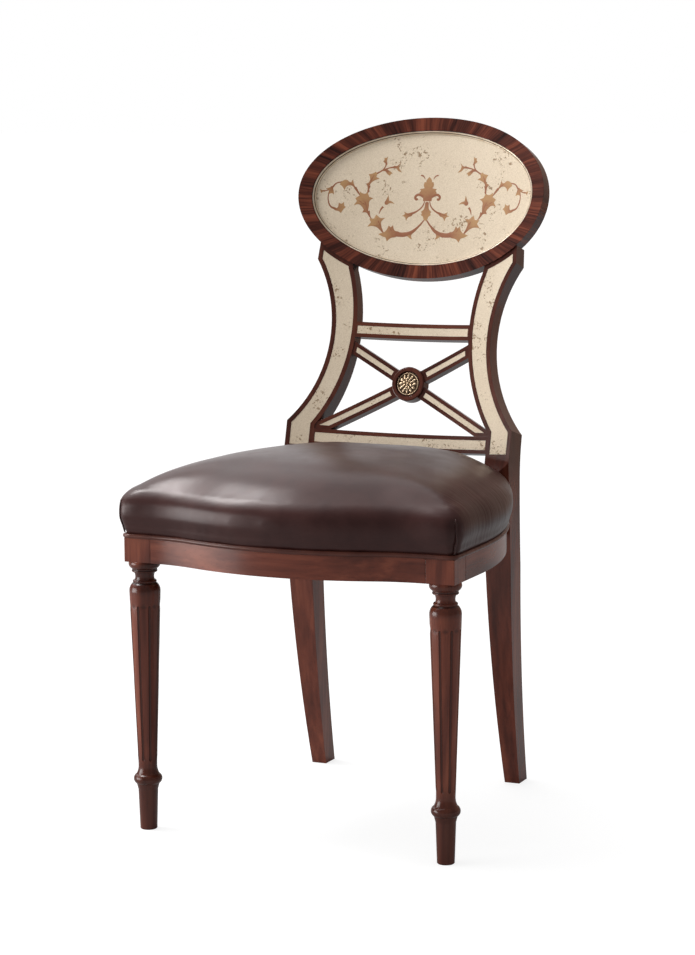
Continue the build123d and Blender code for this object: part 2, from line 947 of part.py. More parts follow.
# Cross rails of the back with their mirror strips
for place, v, height, half, trim in (
    ("upper", upper_rail_v, upper_rail_height, upper_half, waist_inner + 20),
    ("lower", lower_rail_v, lower_rail_height, lower_half, post_inner + 5),
):
    strip = strip_outline(v, height, trim)
    with BuildPart() as cross_rail:
        add(curved(rail_outline(v, height, trim), 0, lattice_thickness))
        add(curved(tenon_outline(v, height, half, 0), tenon_front, tenon_back))
        add(curved(strip, -strip_border, inlay_thickness), mode=Mode.SUBTRACT)
    finish(cross_rail, f"{place}_cross_rail")
    with BuildPart() as rail_mirror:
        add(curved(shrunk(strip, fit), inlay_set_back, inlay_thickness))
    finish(rail_mirror, f"{place}_rail_mirror")

# Roundel and rosette at the middle of the cross
roundel_plane = Plane(
    origin=back_plane.from_local_coords((0, cross_v, 0)),
    x_dir=(1, 0, 0),
    z_dir=back_plane.z_dir,
)
recess_floor = roundel_proud - recess_depth
cross_depth = arm_set_back + arm_thickness / 2
arm_angles = {
    "upper_right": arm_angle,
    "upper_left": 180 - arm_angle,
    "lower_right": -arm_angle,
    "lower_left": 180 + arm_angle,
}


def cross_peg(angle, gap=0.0):
    along = (cos(radians(angle)), sin(radians(angle)))
    u = roundel_radius * along[0]
    v = cross_v + roundel_radius * along[1]
    return lattice_peg(u, v, along, cross_depth, gap)


with BuildPart() as roundel:
    with BuildSketch(roundel_plane.offset(-roundel_back)):
        Circle(roundel_radius)
    extrude(amount=roundel_thickness)
    roundel_faces = roundel.faces().sort_by(Axis(roundel_plane.origin, roundel_plane.z_dir))
    fillet(roundel_faces[-1].edges(), roundel_ease)
    with BuildSketch(roundel_plane.offset(recess_floor)):
        Circle(recess_radius)
    extrude(amount=recess_depth, mode=Mode.SUBTRACT)
    with BuildSketch(roundel_plane.offset(recess_floor)):
        Circle(rosette_stem + fit)
    extrude(amount=-roundel_thickness / 2, mode=Mode.SUBTRACT)
    for angle in arm_angles.values():
        add(cross_peg(angle, fit), mode=Mode.SUBTRACT)
finish(roundel, "roundel")

rim_inner = rosette_radius - rosette_rim
rosette_floor = rosette_height / 3
petal_middle = (rim_inner + boss_radius) / 2
petal_top = 0.9 * rosette_height
boss_top = 1.3 * rosette_height
boss_rise = boss_top - rosette_floor
boss_curve = (boss_radius**2 + boss_rise**2) / (2 * boss_rise)
boss_centre = boss_top - boss_curve
boss_turn = asin(boss_radius / boss_curve)
with BuildPart() as rosette_face:
    with BuildSketch(Plane.XZ):
        with BuildLine():
            disc = Polyline(
                (0, 0),
                (rosette_radius, 0),
                (rosette_radius, rosette_height - rosette_rim / 2),
            )
            rim = Polyline(
                disc @ 1,
                (rosette_radius - rosette_rim / 3, rosette_height),
                (rim_inner + rosette_rim / 3, rosette_height),
                (rim_inner, rosette_height - rosette_rim / 2),
                (rim_inner, rosette_floor),
            )
            petals = Polyline(
                rim @ 1,
                (petal_middle + rosette_rim, petal_top),
                (petal_middle - rosette_rim, petal_top),
                (boss_radius, rosette_floor),
            )
            boss = ThreePointArc(
                petals @ 1,
                (boss_curve * sin(boss_turn / 2), boss_centre + boss_curve * cos(boss_turn / 2)),
                (0, boss_top),
            )
            Line(boss @ 1, disc @ 0)
        make_face()
    revolve(axis=Axis.Z)
    with PolarLocations(petal_middle, petal_count, start_angle=180 / petal_count):
        with Locations(Location((0, 0, petal_top), (45, 0, 0))):
            Box(rim_inner - boss_radius, petal_groove, petal_groove, mode=Mode.SUBTRACT)
    Cylinder(
        rosette_stem,
        roundel_thickness / 2 - fit,
        align=(Align.CENTER, Align.CENTER, Align.MAX),
    )

with BuildPart() as rosette:
    with Locations(roundel_plane.offset(recess_floor)):
        add(rosette_face.part)
finish(rosette, "rosette")

# Arms of the cross
arm_back = arm_set_back + arm_thickness
arm_length = {"upper": waist_inner + 18, "lower": post_inner + 10}
for place, angle in arm_angles.items():
    length = arm_length[place.split("_")[0]] / cos(radians(arm_angle))
    outline = arm_outline(angle, length)
    strip = shrunk(outline, arm_strip_border)
    with BuildPart() as arm:
        add(curved(outline, arm_set_back, arm_back))
        add(curved(strip, -arm_strip_border, arm_set_back + inlay_thickness), mode=Mode.SUBTRACT)
        add(cross_peg(angle, fit), mode=Mode.SUBTRACT)
    finish(arm, f"cross_arm_{place}")
    with BuildPart() as arm_mirror:
        add(
            curved(
                shrunk(strip, fit), arm_set_back + inlay_set_back, arm_set_back + inlay_thickness
            )
        )
    finish(arm_mirror, f"arm_mirror_{place}")

with BuildPart() as cross_dowels:
    add([cross_peg(angle) for angle in arm_angles.values()])
finish(cross_dowels, "cross_dowels")

# Oval: a crossbanded frame, a gilt bead, the mirror panel and its backing
lip = oval_outline(lip_half_width, lip_half_height)
sight = oval_outline(lip_half_width - bead_width, lip_half_height - bead_width)
seat_of_panel = oval_outline(lip_half_width + rebate, lip_half_height + rebate)
panel_outline = oval_outline(lip_half_width + rebate - fit, lip_half_height + rebate - fit)

with BuildPart() as oval_frame:
    add(curved(oval_outline(oval_half_width, oval_half_height), oval_front, oval_back))
    add(curved(lip, oval_front - rebate, oval_back + rebate), mode=Mode.SUBTRACT)
    add(curved(seat_of_panel, panel_front, oval_back + rebate), mode=Mode.SUBTRACT)
    add(both_sides(*oval_pegs(fit)), mode=Mode.SUBTRACT)
finish(oval_frame, "oval_frame")

with BuildPart() as oval_bead:
    bead_edge = oval_outline(lip_half_width - fit, lip_half_height - fit)
    add(curved(bead_edge, oval_front + bead_set_back, panel_front))
    add(curved(sight, oval_front - rebate, panel_front + rebate), mode=Mode.SUBTRACT)
finish(oval_bead, "oval_bead")

with BuildPart() as oval_mirror:
    add(curved(panel_outline, panel_front, panel_front + panel_thickness))
finish(oval_mirror, "oval_mirror")

with BuildPart() as oval_backing:
    backing_front = panel_front + panel_thickness
    add(curved(panel_outline, backing_front, backing_front + backing_thickness))
finish(oval_backing, "oval_backing")

with BuildPart() as oval_dowels:
    add(both_sides(*oval_pegs()))
finish(oval_dowels, "oval_dowels")

# Seat layers
seat_holes = both_sides(
    screw(front_seat_screw, seat_screw_length, fit), screw(rear_seat_screw, seat_screw_length, fit)
)
board_top = board_bottom + board_thickness


def seat_sheet(plan, low, high):
    """A flat layer with a plan of the seat, between two heights."""
    with BuildPart() as sheet:
        with BuildSketch(Plane.XY.offset(low)):
            add(plan)
        extrude(amount=high - low)
    return sheet.part


board_plan = seat_outline(tuck - leather)
opening_plan = seat_outline(tuck, 1 - turn_under / side_face)
dust_plan = seat_outline(tuck - post_clearance, 1 - turn_under / side_face)


with BuildPart() as seat_board:
    add(notched(seat_sheet(board_plan, board_bottom, board_top), post_clearance + leather))
    add(seat_holes, mode=Mode.SUBTRACT)
finish(seat_board, "seat_board")

padded_core = notched(seat_body(leather), post_clearance + leather)
with BuildPart() as seat_foam:
    add(padded_core)
    add(seat_sheet(board_plan, rail_top, board_top), mode=Mode.SUBTRACT)
finish(seat_foam, "seat_foam")

with BuildPart() as leather_cover:
    add(notched(seat_body(0), post_clearance))
    add(padded_core, mode=Mode.SUBTRACT)
    add(seat_sheet(opening_plan, rail_top, board_bottom), mode=Mode.SUBTRACT)
    add(seat_holes, mode=Mode.SUBTRACT)
finish(leather_cover, "leather_cover")

with BuildPart() as dust_cover:
    dust_low = board_bottom - dust_cover_thickness
    dust_sheet = seat_sheet(dust_plan, dust_low, board_bottom)
    add(notched(dust_sheet, post_clearance + leather))
    add(seat_holes, mode=Mode.SUBTRACT)
finish(dust_cover, "dust_cover")

# Welt round the foot of the cushion, from post to post
welt_rise = post_front_at(rail_top) + welt_radius - side_straight_end
welt_angle = asin(welt_rise / (side_radius + welt_overhang))
with BuildPart() as welt:
    with BuildLine(Plane.XY.offset(rail_top + welt_radius)) as welt_path:
        draw_front_and_sides(welt_overhang, welt_angle)
    welt_line = welt_path.wire()
    with BuildSketch(Plane(origin=welt_line @ 0, z_dir=welt_line % 0)):
        Circle(welt_radius)
    sweep(path=welt_line)
    add(post_notch(post_clearance), mode=Mode.SUBTRACT)
    add(post_notch(post_clearance).mirror(Plane.YZ), mode=Mode.SUBTRACT)
finish(welt, "welt")
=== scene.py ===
# %% [markdown]
# This lesson dresses a dining chair: a mahogany frame with an oval looking glass panel in the back,
# strips of the same glass let into the lattice, and a leather seat.
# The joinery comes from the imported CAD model, which is loaded first and never moved.
# Blender adds what a solid can't hold: the finishes, the stuffed leather, the gilding and the studio.

import json
import math

import bmesh
import bpy
from mathutils import Matrix, Vector, noise
from mathutils.bvhtree import BVHTree

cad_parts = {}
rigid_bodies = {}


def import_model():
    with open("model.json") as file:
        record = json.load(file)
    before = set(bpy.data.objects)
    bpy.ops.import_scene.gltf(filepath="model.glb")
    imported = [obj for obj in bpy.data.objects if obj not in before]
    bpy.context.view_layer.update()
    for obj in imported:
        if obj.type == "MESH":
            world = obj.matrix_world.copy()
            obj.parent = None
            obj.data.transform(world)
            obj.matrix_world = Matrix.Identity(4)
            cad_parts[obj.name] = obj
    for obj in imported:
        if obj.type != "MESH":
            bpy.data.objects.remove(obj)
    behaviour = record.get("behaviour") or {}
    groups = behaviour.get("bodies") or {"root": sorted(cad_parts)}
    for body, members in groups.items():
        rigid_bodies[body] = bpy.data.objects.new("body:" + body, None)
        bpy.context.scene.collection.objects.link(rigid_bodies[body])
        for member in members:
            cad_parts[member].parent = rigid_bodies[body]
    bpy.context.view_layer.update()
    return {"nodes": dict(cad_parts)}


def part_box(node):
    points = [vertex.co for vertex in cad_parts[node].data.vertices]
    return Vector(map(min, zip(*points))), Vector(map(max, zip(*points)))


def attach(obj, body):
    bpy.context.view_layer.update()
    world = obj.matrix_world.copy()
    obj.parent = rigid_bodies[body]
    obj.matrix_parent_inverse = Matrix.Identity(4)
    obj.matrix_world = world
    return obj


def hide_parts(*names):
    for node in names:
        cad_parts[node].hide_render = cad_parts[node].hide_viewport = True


for leftover in list(bpy.data.objects):
    bpy.data.objects.remove(leftover)
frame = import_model()
nodes = frame["nodes"]
scene = bpy.context.scene
scene.view_settings.view_transform = "Standard"

# %% [markdown]
# The photograph was taken from the chair's left hand, a little above the seat, with a long lens.
# A camera can be aimed with a constraint, but a matrix of three axes says the same thing with no
# helper object: one axis points back from the chair to the lens, and the other two follow from it.

# %% Camera
camera_azimuth = math.radians(24.115)
camera_elevation = math.radians(8.163)
camera_roll = math.radians(-0.358)
camera_place = Vector((1.55464, -3.5226, 1.03847))
camera_lens = 101.03

away = Vector((
    math.sin(camera_azimuth) * math.cos(camera_elevation),
    -math.cos(camera_azimuth) * math.cos(camera_elevation),
    math.sin(camera_elevation),
))
level = Vector((math.cos(camera_azimuth), math.sin(camera_azimuth), 0))
rightward = Matrix.Rotation(camera_roll, 3, away) @ level
upward = away.cross(rightward)
camera_data = bpy.data.cameras.new("camera")
camera_data.lens = camera_lens
camera = bpy.data.objects.new("camera", camera_data)
camera_axes = Matrix((rightward, upward, away)).transposed().to_4x4()
camera.matrix_world = Matrix.Translation(camera_place) @ camera_axes
scene.collection.objects.link(camera)
scene.camera = camera
print("camera stands", round(camera_place.length, 2), "m away")

# %% [markdown]
# Shaders are sums of small parts: a streak, a speck, a bit of noise. Wiring each Math node by hand hides
# the sum, so a small class wraps a socket, and Python's own operators add the nodes. Its method add makes
# every other kind of node.

# %% Paint, a socket that can be added and multiplied
class Paint:
    """One output socket of a node tree. Operators on it add Math nodes."""

    def __init__(self, tree, socket=None):
        self.tree = tree
        self.socket = socket

    def add(self, kind, settings=(), sockets=(), out=0):
        """Adds a shader node, sets its settings and then its sockets, and wraps one of its outputs."""
        node = self.tree.nodes.new("ShaderNode" + kind)
        for name, value in dict(settings).items():
            if name == "stops":
                ramp = node.color_ramp.elements
                while len(ramp) < len(value):
                    ramp.new(0.5)
                for stop, (place, colour) in zip(ramp, value):
                    stop.position = place
                    stop.color = (*colour, 1)
            else:
                setattr(node, name, value)
        for name, value in dict(sockets).items():
            if isinstance(value, Paint):
                self.tree.links.new(value.socket, node.inputs[name])
            else:
                node.inputs[name].default_value = value
        return Paint(self.tree, node.outputs[out])

    def maths(self, operation, first, second=0):
        return self.add("Math", {"operation": operation}, {0: first, 1: second})

    def __add__(self, other):
        return self.maths("ADD", self, other)

    def __sub__(self, other):
        return self.maths("SUBTRACT", self, other)

    def __rsub__(self, other):
        return self.maths("SUBTRACT", other, self)

    def __mul__(self, other):
        return self.maths("MULTIPLY", self, other)


# %% Helpers that most finishes share
def stretched(coords, turn=(0, 0, 0), stretch=(1, 1, 1), centre=(0, 0, 0)):
    """Coordinates moved to a centre, turned, and drawn out along an axis."""
    return coords.add("Mapping", {"vector_type": "TEXTURE"},
                      {"Vector": coords, "Location": centre, "Rotation": turn, "Scale": stretch})


def along_axis(coords, axis):
    """One of the three numbers of a vector: X, Y or Z."""
    return coords.add("SeparateXYZ", {}, {"Vector": coords}, out=axis)


def cloud(coords, scale, detail=4.0, distortion=0.0):
    """Soft noise between 0 and 1, so many cycles to the metre."""
    sockets = {"Vector": coords, "Scale": scale, "Detail": detail, "Distortion": distortion}
    return coords.add("TexNoise", {}, sockets)


def step(value, low, high):
    """0 below low, 1 above high, and a smooth rise between."""
    return value.add("MapRange", {"interpolation_type": "SMOOTHSTEP"},
                     {"Value": value, "From Min": low, "From Max": high})


def blend(factor, first, second):
    """A colour between two colours."""
    return factor.add("Mix", {"data_type": "RGBA"}, {0: factor, 6: first, 7: second}, out=2)


def bumped(height, strength, distance, edge=0):
    """A normal with that relief, and with the sharp edges of the solid softened by a small radius."""
    relief = {"Height": height, "Strength": strength, "Distance": distance}
    if edge:
        relief["Normal"] = height.add("Bevel", {"samples": 6}, {"Radius": edge})
    return height.add("Bump", {}, relief)


def finish(name, varying, **constants):
    """A Principled material: a function of Object coordinates gives what varies, the rest is constant."""
    material = bpy.data.materials.new(name)
    material.use_nodes = True
    tree = material.node_tree
    shader = tree.nodes["Principled BSDF"]
    for socket, value in constants.items():
        shader.inputs[socket.replace("_", " ")].default_value = value
    coords = Paint(tree).add("TexCoord", out="Object")
    for socket, value in varying(coords).items():
        tree.links.new(value.socket, shader.inputs[socket])
    print("finish", name, "with", len(tree.nodes), "nodes")
    return material


# %% [markdown]
# A plain studio: a pale floor, a white wall behind the chair, a dim room behind the camera, and a grey
# ceiling. Walls could be modelled, but the world itself can be the wall. A reflection sees that plan, so
# that polished wood and leather have something dark to show. The camera sees white, and the light that
# falls on the chair is a plain even grey. The Light Path node tells these rays apart.

# %% World
wall_fade = (0.42, 0.80)
wall_reach = (0.40, 0.88)
ceiling_grey = 0.16
world_light = 0.46


def seen(paint, gloss):
    """1 for a ray from the camera or through glass, and so much for one off a polished surface."""
    looks = [paint.add("LightPath", out=f"Is {ray} Ray") for ray in ("Camera", "Glossy", "Transmission")]
    return looks[0] + looks[1] * gloss + looks[2]


world = bpy.data.worlds.new("studio")
world.use_nodes = True
scene.world = world
sky = Paint(world.node_tree).add("TexCoord", out="Generated")
climb = along_axis(sky, "Z")
behind = along_axis(sky, "Y")
wall_share = (1 - step(climb, *wall_fade)) * step(behind, *wall_reach)
wall_grey = wall_share * (1 - ceiling_grey) + ceiling_grey
fall_light = (1 - seen(sky, 1.0)) * world_light
world_grey = seen(sky, wall_grey) + fall_light
world.node_tree.links.new(world_grey.socket, world.node_tree.nodes["Background"].inputs["Color"])
print("world with", len(world.node_tree.nodes), "nodes")

# %% Floor
floor_size = 60.0
floor_glow = 0.80
floor_white = 0.30
floor_gloss = 0.12
floor_far = 2.6


def put(bm, mesh):
    """Writes a finished bmesh to a mesh and clears it away."""
    bm.to_mesh(mesh)
    bm.free()
    return mesh


def card(name, size, place=Matrix()):
    """A flat square in the scene, from -size to size each way, with its place in its mesh."""
    bm = bmesh.new()
    bmesh.ops.create_grid(bm, x_segments=1, y_segments=1, size=size, matrix=place)
    made = bpy.data.objects.new(name, put(bm, bpy.data.meshes.new(name)))
    scene.collection.objects.link(made)
    return made


floor = card("floor", floor_size)


def floor_varying(coords):
    away_back = step(along_axis(coords, "Y"), floor_far, floor_far * 2)
    return {
        "Base Color": cloud(coords, 3) * 0.004 + floor_white,
        "Emission Color": seen(coords, away_back * (1 - floor_gloss) + floor_gloss) * floor_glow,
    }


floor_paint = finish("floor_paint", floor_varying, Roughness=1.0, Specular_IOR_Level=0.0,
                     Emission_Strength=1.0)
floor.data.materials.append(floor_paint)

# %% [markdown]
# A wide sun stands for a ceiling full of lamps and gives the even light. Two soft boxes at the left of
# the picture add highlights: one high up for the shoulder of the seat, one low and wide for legs and rails.

# %% Lamps
lamp_aim = Vector((0, 0, 0.55))


def aimed(lamp_data, place):
    """A lamp at that place, turned to the seat."""
    lamp = bpy.data.objects.new(lamp_data.name, lamp_data)
    aim = lamp_aim - Vector(place)
    lamp.matrix_world = Matrix.Translation(place) @ aim.to_track_quat("-Z", "Y").to_matrix().to_4x4()
    scene.collection.objects.link(lamp)


def soft_box(name, place, width, height, power):
    """An area lamp."""
    box = bpy.data.lights.new(name, "AREA")
    box.shape = "RECTANGLE"
    box.size = width
    box.size_y = height
    box.energy = power
    aimed(box, place)


bank = bpy.data.lights.new("ceiling_bank", "SUN")
bank.angle = math.radians(70)
bank.energy = 1.5
aimed(bank, (-1.6, 0.6, 3.0))
soft_box("shoulder_box", (-1.45, -0.25, 2.45), 0.7, 0.7, 36)
soft_box("left_box", (-2.5, -1.6, 0.62), 2.0, 1.25, 50)
print("lamps:", len(bpy.data.lights))

# %% [markdown]
# Polished dark wood shows the whole room, and a white room makes it look milky. Photographers stand a dark
# flag where a reflection should stay dark. This one is brown cloth behind the chair on its left hand
# side, and only reflections see it.

# %% Flag
flag_place = Vector((1.2, 2.6, 1.1))
flag_size = 1.9
flag_aim = Vector((0, 0, 0.6))

flag_turn = (flag_aim - flag_place).to_track_quat("Z", "Y").to_matrix().to_4x4()
flag = card("flag", flag_size, Matrix.Translation(flag_place) @ flag_turn)
flag.visible_camera = False
flag.visible_diffuse = False
flag.visible_shadow = False


def flag_varying(coords):
    return {"Base Color": blend(cloud(coords, 4), (0.47, 0.335, 0.275, 1), (0.53, 0.385, 0.315, 1))}


flag.data.materials.append(finish("flag_cloth", flag_varying, Roughness=1.0, Specular_IOR_Level=0.0))

# %% [markdown]
# The frame is mahogany under a hard, clear polish: reddish streaks, a slow ribbon figure and fine dark
# pores. One function makes the wood, and each piece says which way its grain runs, because a rail with its
# grain across would look wrong at once. Above the seat rails the wood is darker, partly a darker stain on
# the back and partly painted shade from the dark seat. The front legs are darker below the ankle, and their
# necks carry painted shade. In their flutes painted shade darkens each point by how deep it lies, and their
# quirks are painted as thin lines of shade.

# %% Mahogany
leg_axis = (0.22875, -0.2410)
shaft_foot = (0.093, 0.0134)
shaft_taper = 0.0087 / 0.252
flute_foot = (0.095, 0.105)
flute_head = (0.330, 0.334)
flute_hollow = (0.0002, 0.0011)
quirks = (0.3566, 0.3757)
quirk_width = (0.0003, 0.0014)
turned_lift = 0.055
foot_line = (0.078, 0.118)
neck_line = (0.338, 0.350)
block_line = (0.384, 0.390)
# Above the seat rails the wood is darker: partly a stain on the back, partly painted shade from the dark
# seat.
stain_and_shade_line = (0.44, 0.51)
# The front legs are darker below the ankle.
foot_darkening = 0.55
# Painted shade in the neck of each front leg.
neck_painted_shade = 0.32
# Painted shade in the flutes and quirks of the front legs.
flute_painted_shade = 0.55
back_stain_and_shade = 0.62


def groove_painted_shade(axes):
    """Painted shade: 1 in the flutes and quirks of a front leg, and 0 on its surface."""
    across = axes[0].maths("ABSOLUTE", axes[0]) - leg_axis[0]
    along = axes[1] - leg_axis[1]
    reach = across.maths("SQRT", across * across + along * along)
    shaft = (axes[2] - shaft_foot[0]) * shaft_taper + shaft_foot[1]
    fluted = step(axes[2], *flute_foot) * (1 - step(axes[2], *flute_head))
    hollow = step(shaft - reach, *flute_hollow) * fluted
    for quirk in quirks:
        hollow = hollow + (1 - step(across.maths("ABSOLUTE", axes[2] - quirk), *quirk_width))
    return hollow


def mahogany(name, turn, turned=False):
    """Polished mahogany whose grain runs along the local Z axis after the turn."""
    def varying(coords):
        grain = stretched(coords, turn, (1, 1, 5))
        fibre = stretched(coords, turn, (1, 1, 24))
        axes = [along_axis(coords, axis) for axis in "XYZ"]
        ribbon = cloud(grain, 15, 3, 1.2)
        streak = cloud(fibre, 150, 3, 0.3)
        pore = step(cloud(fibre, 700, 2), 0.60, 0.72)
        shade = ribbon * 0.72 + streak * 0.28
        if turned:
            shaft = step(axes[2], *foot_line) * (1 - step(axes[2], *neck_line))
            # The neck band, which gets painted shade.
            neck = step(axes[2], *neck_line) * (1 - step(axes[2], *block_line))
            shade = shade + shaft * turned_lift
        colour = shade.add("ValToRGB", {"stops": [
            (0.34, (0.072, 0.0165, 0.0098)),
            (0.50, (0.160, 0.0385, 0.0215)),
            (0.66, (0.275, 0.0760, 0.0400)),
        ]}, {"Fac": shade})
        # Darker above the seat rails: partly a stain on the back, partly painted shade from the seat.
        stain_and_shade = step(axes[2], *stain_and_shade_line) * back_stain_and_shade
        if turned:
            # Painted shade in the flutes, quirks and necks of the front legs.
            stain_and_shade = stain_and_shade + groove_painted_shade(axes) * flute_painted_shade + neck * neck_painted_shade
            # Darker below the ankle.
            stain_and_shade = stain_and_shade + (1 - step(axes[2], *foot_line)) * foot_darkening
        stained_and_shaded = blend(stain_and_shade, colour, (0.020, 0.0058, 0.0042, 1))
        return {
            "Base Color": blend(pore * 0.35, stained_and_shaded, (0.030, 0.008, 0.005, 1)),
            "Roughness": streak * 0.08 + 0.18,
            "Normal": bumped(streak - pore * 0.6, 0.05, 0.0002, 0.0003),
        }
    return finish(name, varying, Specular_IOR_Level=0.42)


grain_turns = {
    "upright": (0, 0, 0),
    "across": (0, math.radians(90), 0),
    "forward": (math.radians(-90), 0, 0),
    "rising_right": (0, math.radians(61), 0),
    "rising_left": (0, math.radians(-61), 0),
}
woods = {way: mahogany("mahogany_" + way, turn) for way, turn in grain_turns.items()}
woods["turned"] = mahogany("mahogany_turned", (0, 0, 0), True)

# %% [markdown]
# The back leans and bows, so its pieces are laid out on a bowed sheet: u runs across the back, v up it,
# and depth goes behind its face. The same sheet is used here to lay the gilding and to centre patterns.

# %% The bowed sheet of the back
sheet_foot = Vector((0, 0.175, 0.600))
sheet_rake = math.radians(15.33)
sheet_radius = 0.650
sheet_up = Vector((0, math.sin(sheet_rake), math.cos(sheet_rake)))
sheet_front = Vector((0, -math.cos(sheet_rake), math.sin(sheet_rake)))


def on_back(u, v, depth):
    """The point of the bowed back at u across, v up and that depth behind its face, in metres."""
    bow = sheet_radius - math.sqrt((sheet_radius + depth) ** 2 - u ** 2)
    return sheet_foot + u * Vector((1, 0, 0)) + v * sheet_up + bow * sheet_front


oval_v = 0.2903
oval_half = (0.1993, 0.1244)
oval_centre = on_back(0, oval_v, 0)
print("centre of the oval:", [round(x, 4) for x in oval_centre])

# %% [markdown]
# The oval ring is crossbanded: strips of rosewood veneer laid with their grain from the inner edge to the
# outer one. Straight streaks would look wrong, so the streaks are drawn round an angle instead.

# %% Crossbanded rosewood
def rosewood_varying(coords):
    flat = stretched(coords, (-sheet_rake, 0, 0), centre=tuple(oval_centre))
    axes = [along_axis(flat, axis) for axis in "XYZ"]
    angle = flat.maths("ARCTAN2", axes[2] * (oval_half[0] / oval_half[1]), axes[0])
    reach = flat.add("VectorMath", {"operation": "LENGTH"}, {0: flat}, out="Value")
    wander = cloud(coords, 30, 2) * 0.03
    places = {"X": angle + wander, "Y": reach * 0.25, "Z": axes[1] * 0.3}
    ring = flat.add("CombineXYZ", {}, places)
    band = cloud(ring, 11, 3, 0.3)
    streak = cloud(ring, 60, 3)
    shade = band * 0.62 + streak * 0.38
    colour = shade.add("ValToRGB", {"stops": [
        (0.36, (0.018, 0.0050, 0.0038)),
        (0.50, (0.078, 0.0185, 0.0110)),
        (0.64, (0.190, 0.0470, 0.0240)),
    ]}, {"Fac": shade})
    return {
        "Base Color": colour,
        "Roughness": streak * 0.10 + 0.20,
        "Normal": bumped(streak, 0.04, 0.0002, 0.0004),
    }


rosewood = finish("rosewood_crossband", rosewood_varying, Specular_IOR_Level=0.34)

# %% [markdown]
# The panels are antiqued mirror: silvered glass whose backing has been distressed until it is a warm,
# clouded champagne with brown foxing. A clean mirror shader would show only the room, so the finish is
# a pale satin coat with a little metal in it, a fine grain, and two sizes of speck that gather in patches.

# %% Antiqued mirror
def mirror_varying(coords):
    cloudy = cloud(coords, 9, 3)
    grain = cloud(coords, 640, 3)
    patches = step(cloud(coords, 26, 2, 0.8), 0.53, 0.62)
    specks = step(cloud(coords, 230, 2, 0.6), 0.57, 0.63)
    pricks = step(cloud(coords, 420, 2), 0.63, 0.69)
    foxing = specks * patches * 0.8 + pricks * (patches * 0.5 + 0.20)
    silver = blend(cloudy * 0.3 + grain * 0.7, (0.45, 0.335, 0.212, 1), (0.92, 0.805, 0.645, 1))
    return {
        "Base Color": blend(foxing, silver, (0.215, 0.120, 0.050, 1)),
        "Roughness": grain * 0.2 + 0.40,
        "Normal": bumped(grain - foxing * 0.3, 0.08, 0.0003),
    }


antique_mirror = finish("antique_mirror", mirror_varying, Metallic=0.15, Specular_IOR_Level=0.4)

# %% [markdown]
# Three metals finish the back: a pale gilded moulding round the oval, the browner gilding of the scroll,
# and a brass rosette gone dark in its hollows. All are rubbed rather than polished, so their roughness
# wanders. The painted shade in the quirk of the moulding, and how far each point of a leaf lies towards its
# tip, are marked on the points of the mesh and read here as attributes.

# %% Gilt and brass
def gilt_varying(coords):
    rub = cloud(coords, 60, 4)
    # Painted shade: the gilt turns near-black where the hollow attribute is high, in the quirk and at the
    # glass.
    hollow = coords.add("Attribute", {"attribute_name": "hollow"}, out="Fac")
    leaf = blend(step(rub, 0.3, 0.7), (0.80, 0.66, 0.50, 1), (0.92, 0.81, 0.66, 1))
    return {
        "Base Color": blend(hollow, leaf, (0.055, 0.026, 0.012, 1)),
        "Roughness": rub * 0.2 + 0.30,
    }


def scroll_varying(coords):
    tip = coords.add("Attribute", {"attribute_name": "tip"}, out="Fac")
    rub = cloud(coords, 90, 4)
    wash = cloud(coords, 420, 3)
    shade = tip * 0.75 + rub * 0.5 + wash * 0.3 - 0.35
    return {
        "Base Color": blend(step(shade, 0.0, 0.9), (0.29, 0.105, 0.048, 1), (0.44, 0.250, 0.105, 1)),
        "Roughness": wash * 0.2 + 0.40,
    }


def brass_varying(coords):
    sockets = {0: coords, 1: tuple(sheet_front)}
    forward = coords.add("VectorMath", {"operation": "DOT_PRODUCT"}, sockets, out="Value")
    height = forward - cross_centre.dot(sheet_front)
    tarnish = cloud(coords, 900, 3) * 0.0012
    rubbed = step(height + tarnish, 0.0004, 0.0030)
    return {
        "Base Color": blend(rubbed, (0.075, 0.038, 0.019, 1), (0.64, 0.475, 0.315, 1)),
        "Roughness": 0.62 - rubbed * 0.34,
    }


cross_v = 0.0047
cross_centre = on_back(0, cross_v, 0)
antique_brass = finish("antique_brass", brass_varying, Metallic=0.9)
gilt = finish("gilt", gilt_varying, Metallic=0.6)
scroll_gilding = finish("scroll_gilding", scroll_varying, Metallic=0.15)

# %% [markdown]
# The seat leather is dark brown hide, finished with a soft shine. Its grain is a fine pebble that only
# shows where the light grazes it, over broad patches where the dye took more or less.

# %% Leather
def hide(name, dark, light, shine):
    """Finished leather between two shades of dye."""
    def varying(coords):
        cells = {"Vector": coords, "Scale": 620.0}
        pebble = coords.add("TexVoronoi", {"feature": "SMOOTH_F1"}, cells)
        crease = cloud(stretched(coords, (0, 0, 0.5), (1, 2.2, 1)), 70, 3, 0.5)
        dye = cloud(coords, 14, 4)
        rub = cloud(coords, 45, 3)
        side = along_axis(coords, "X")
        at_side = step(side * side, 0.035, 0.058)
        gather = cloud(stretched(coords, (0, 0, 0), (7, 1, 7)), 120, 2) * at_side
        return {
            "Base Color": blend(step(dye * 0.7 + rub * 0.3, 0.36, 0.66), dark, light),
            "Roughness": rub * 0.08 + crease * 0.06 + 0.26,
            "Normal": bumped(pebble * 0.15 + crease * 0.6 + gather * 14, 0.14, 0.0004),
        }
    return finish(name, varying, Specular_IOR_Level=shine, Specular_Tint=(1, 0.93, 0.92, 1))


leather = hide("seat_leather", (0.036, 0.0112, 0.0102, 1), (0.052, 0.0176, 0.0156, 1), 0.36)
welt_leather = hide("welt_leather", (0.070, 0.0190, 0.0125, 1), (0.120, 0.0350, 0.0220, 1), 0.45)

# %% [markdown]
# Some finishes only show from below: beech blocks and dowels, a plywood seat board, steel screws, and the
# black cloth that closes the underside. Each still has its own grain or weave.

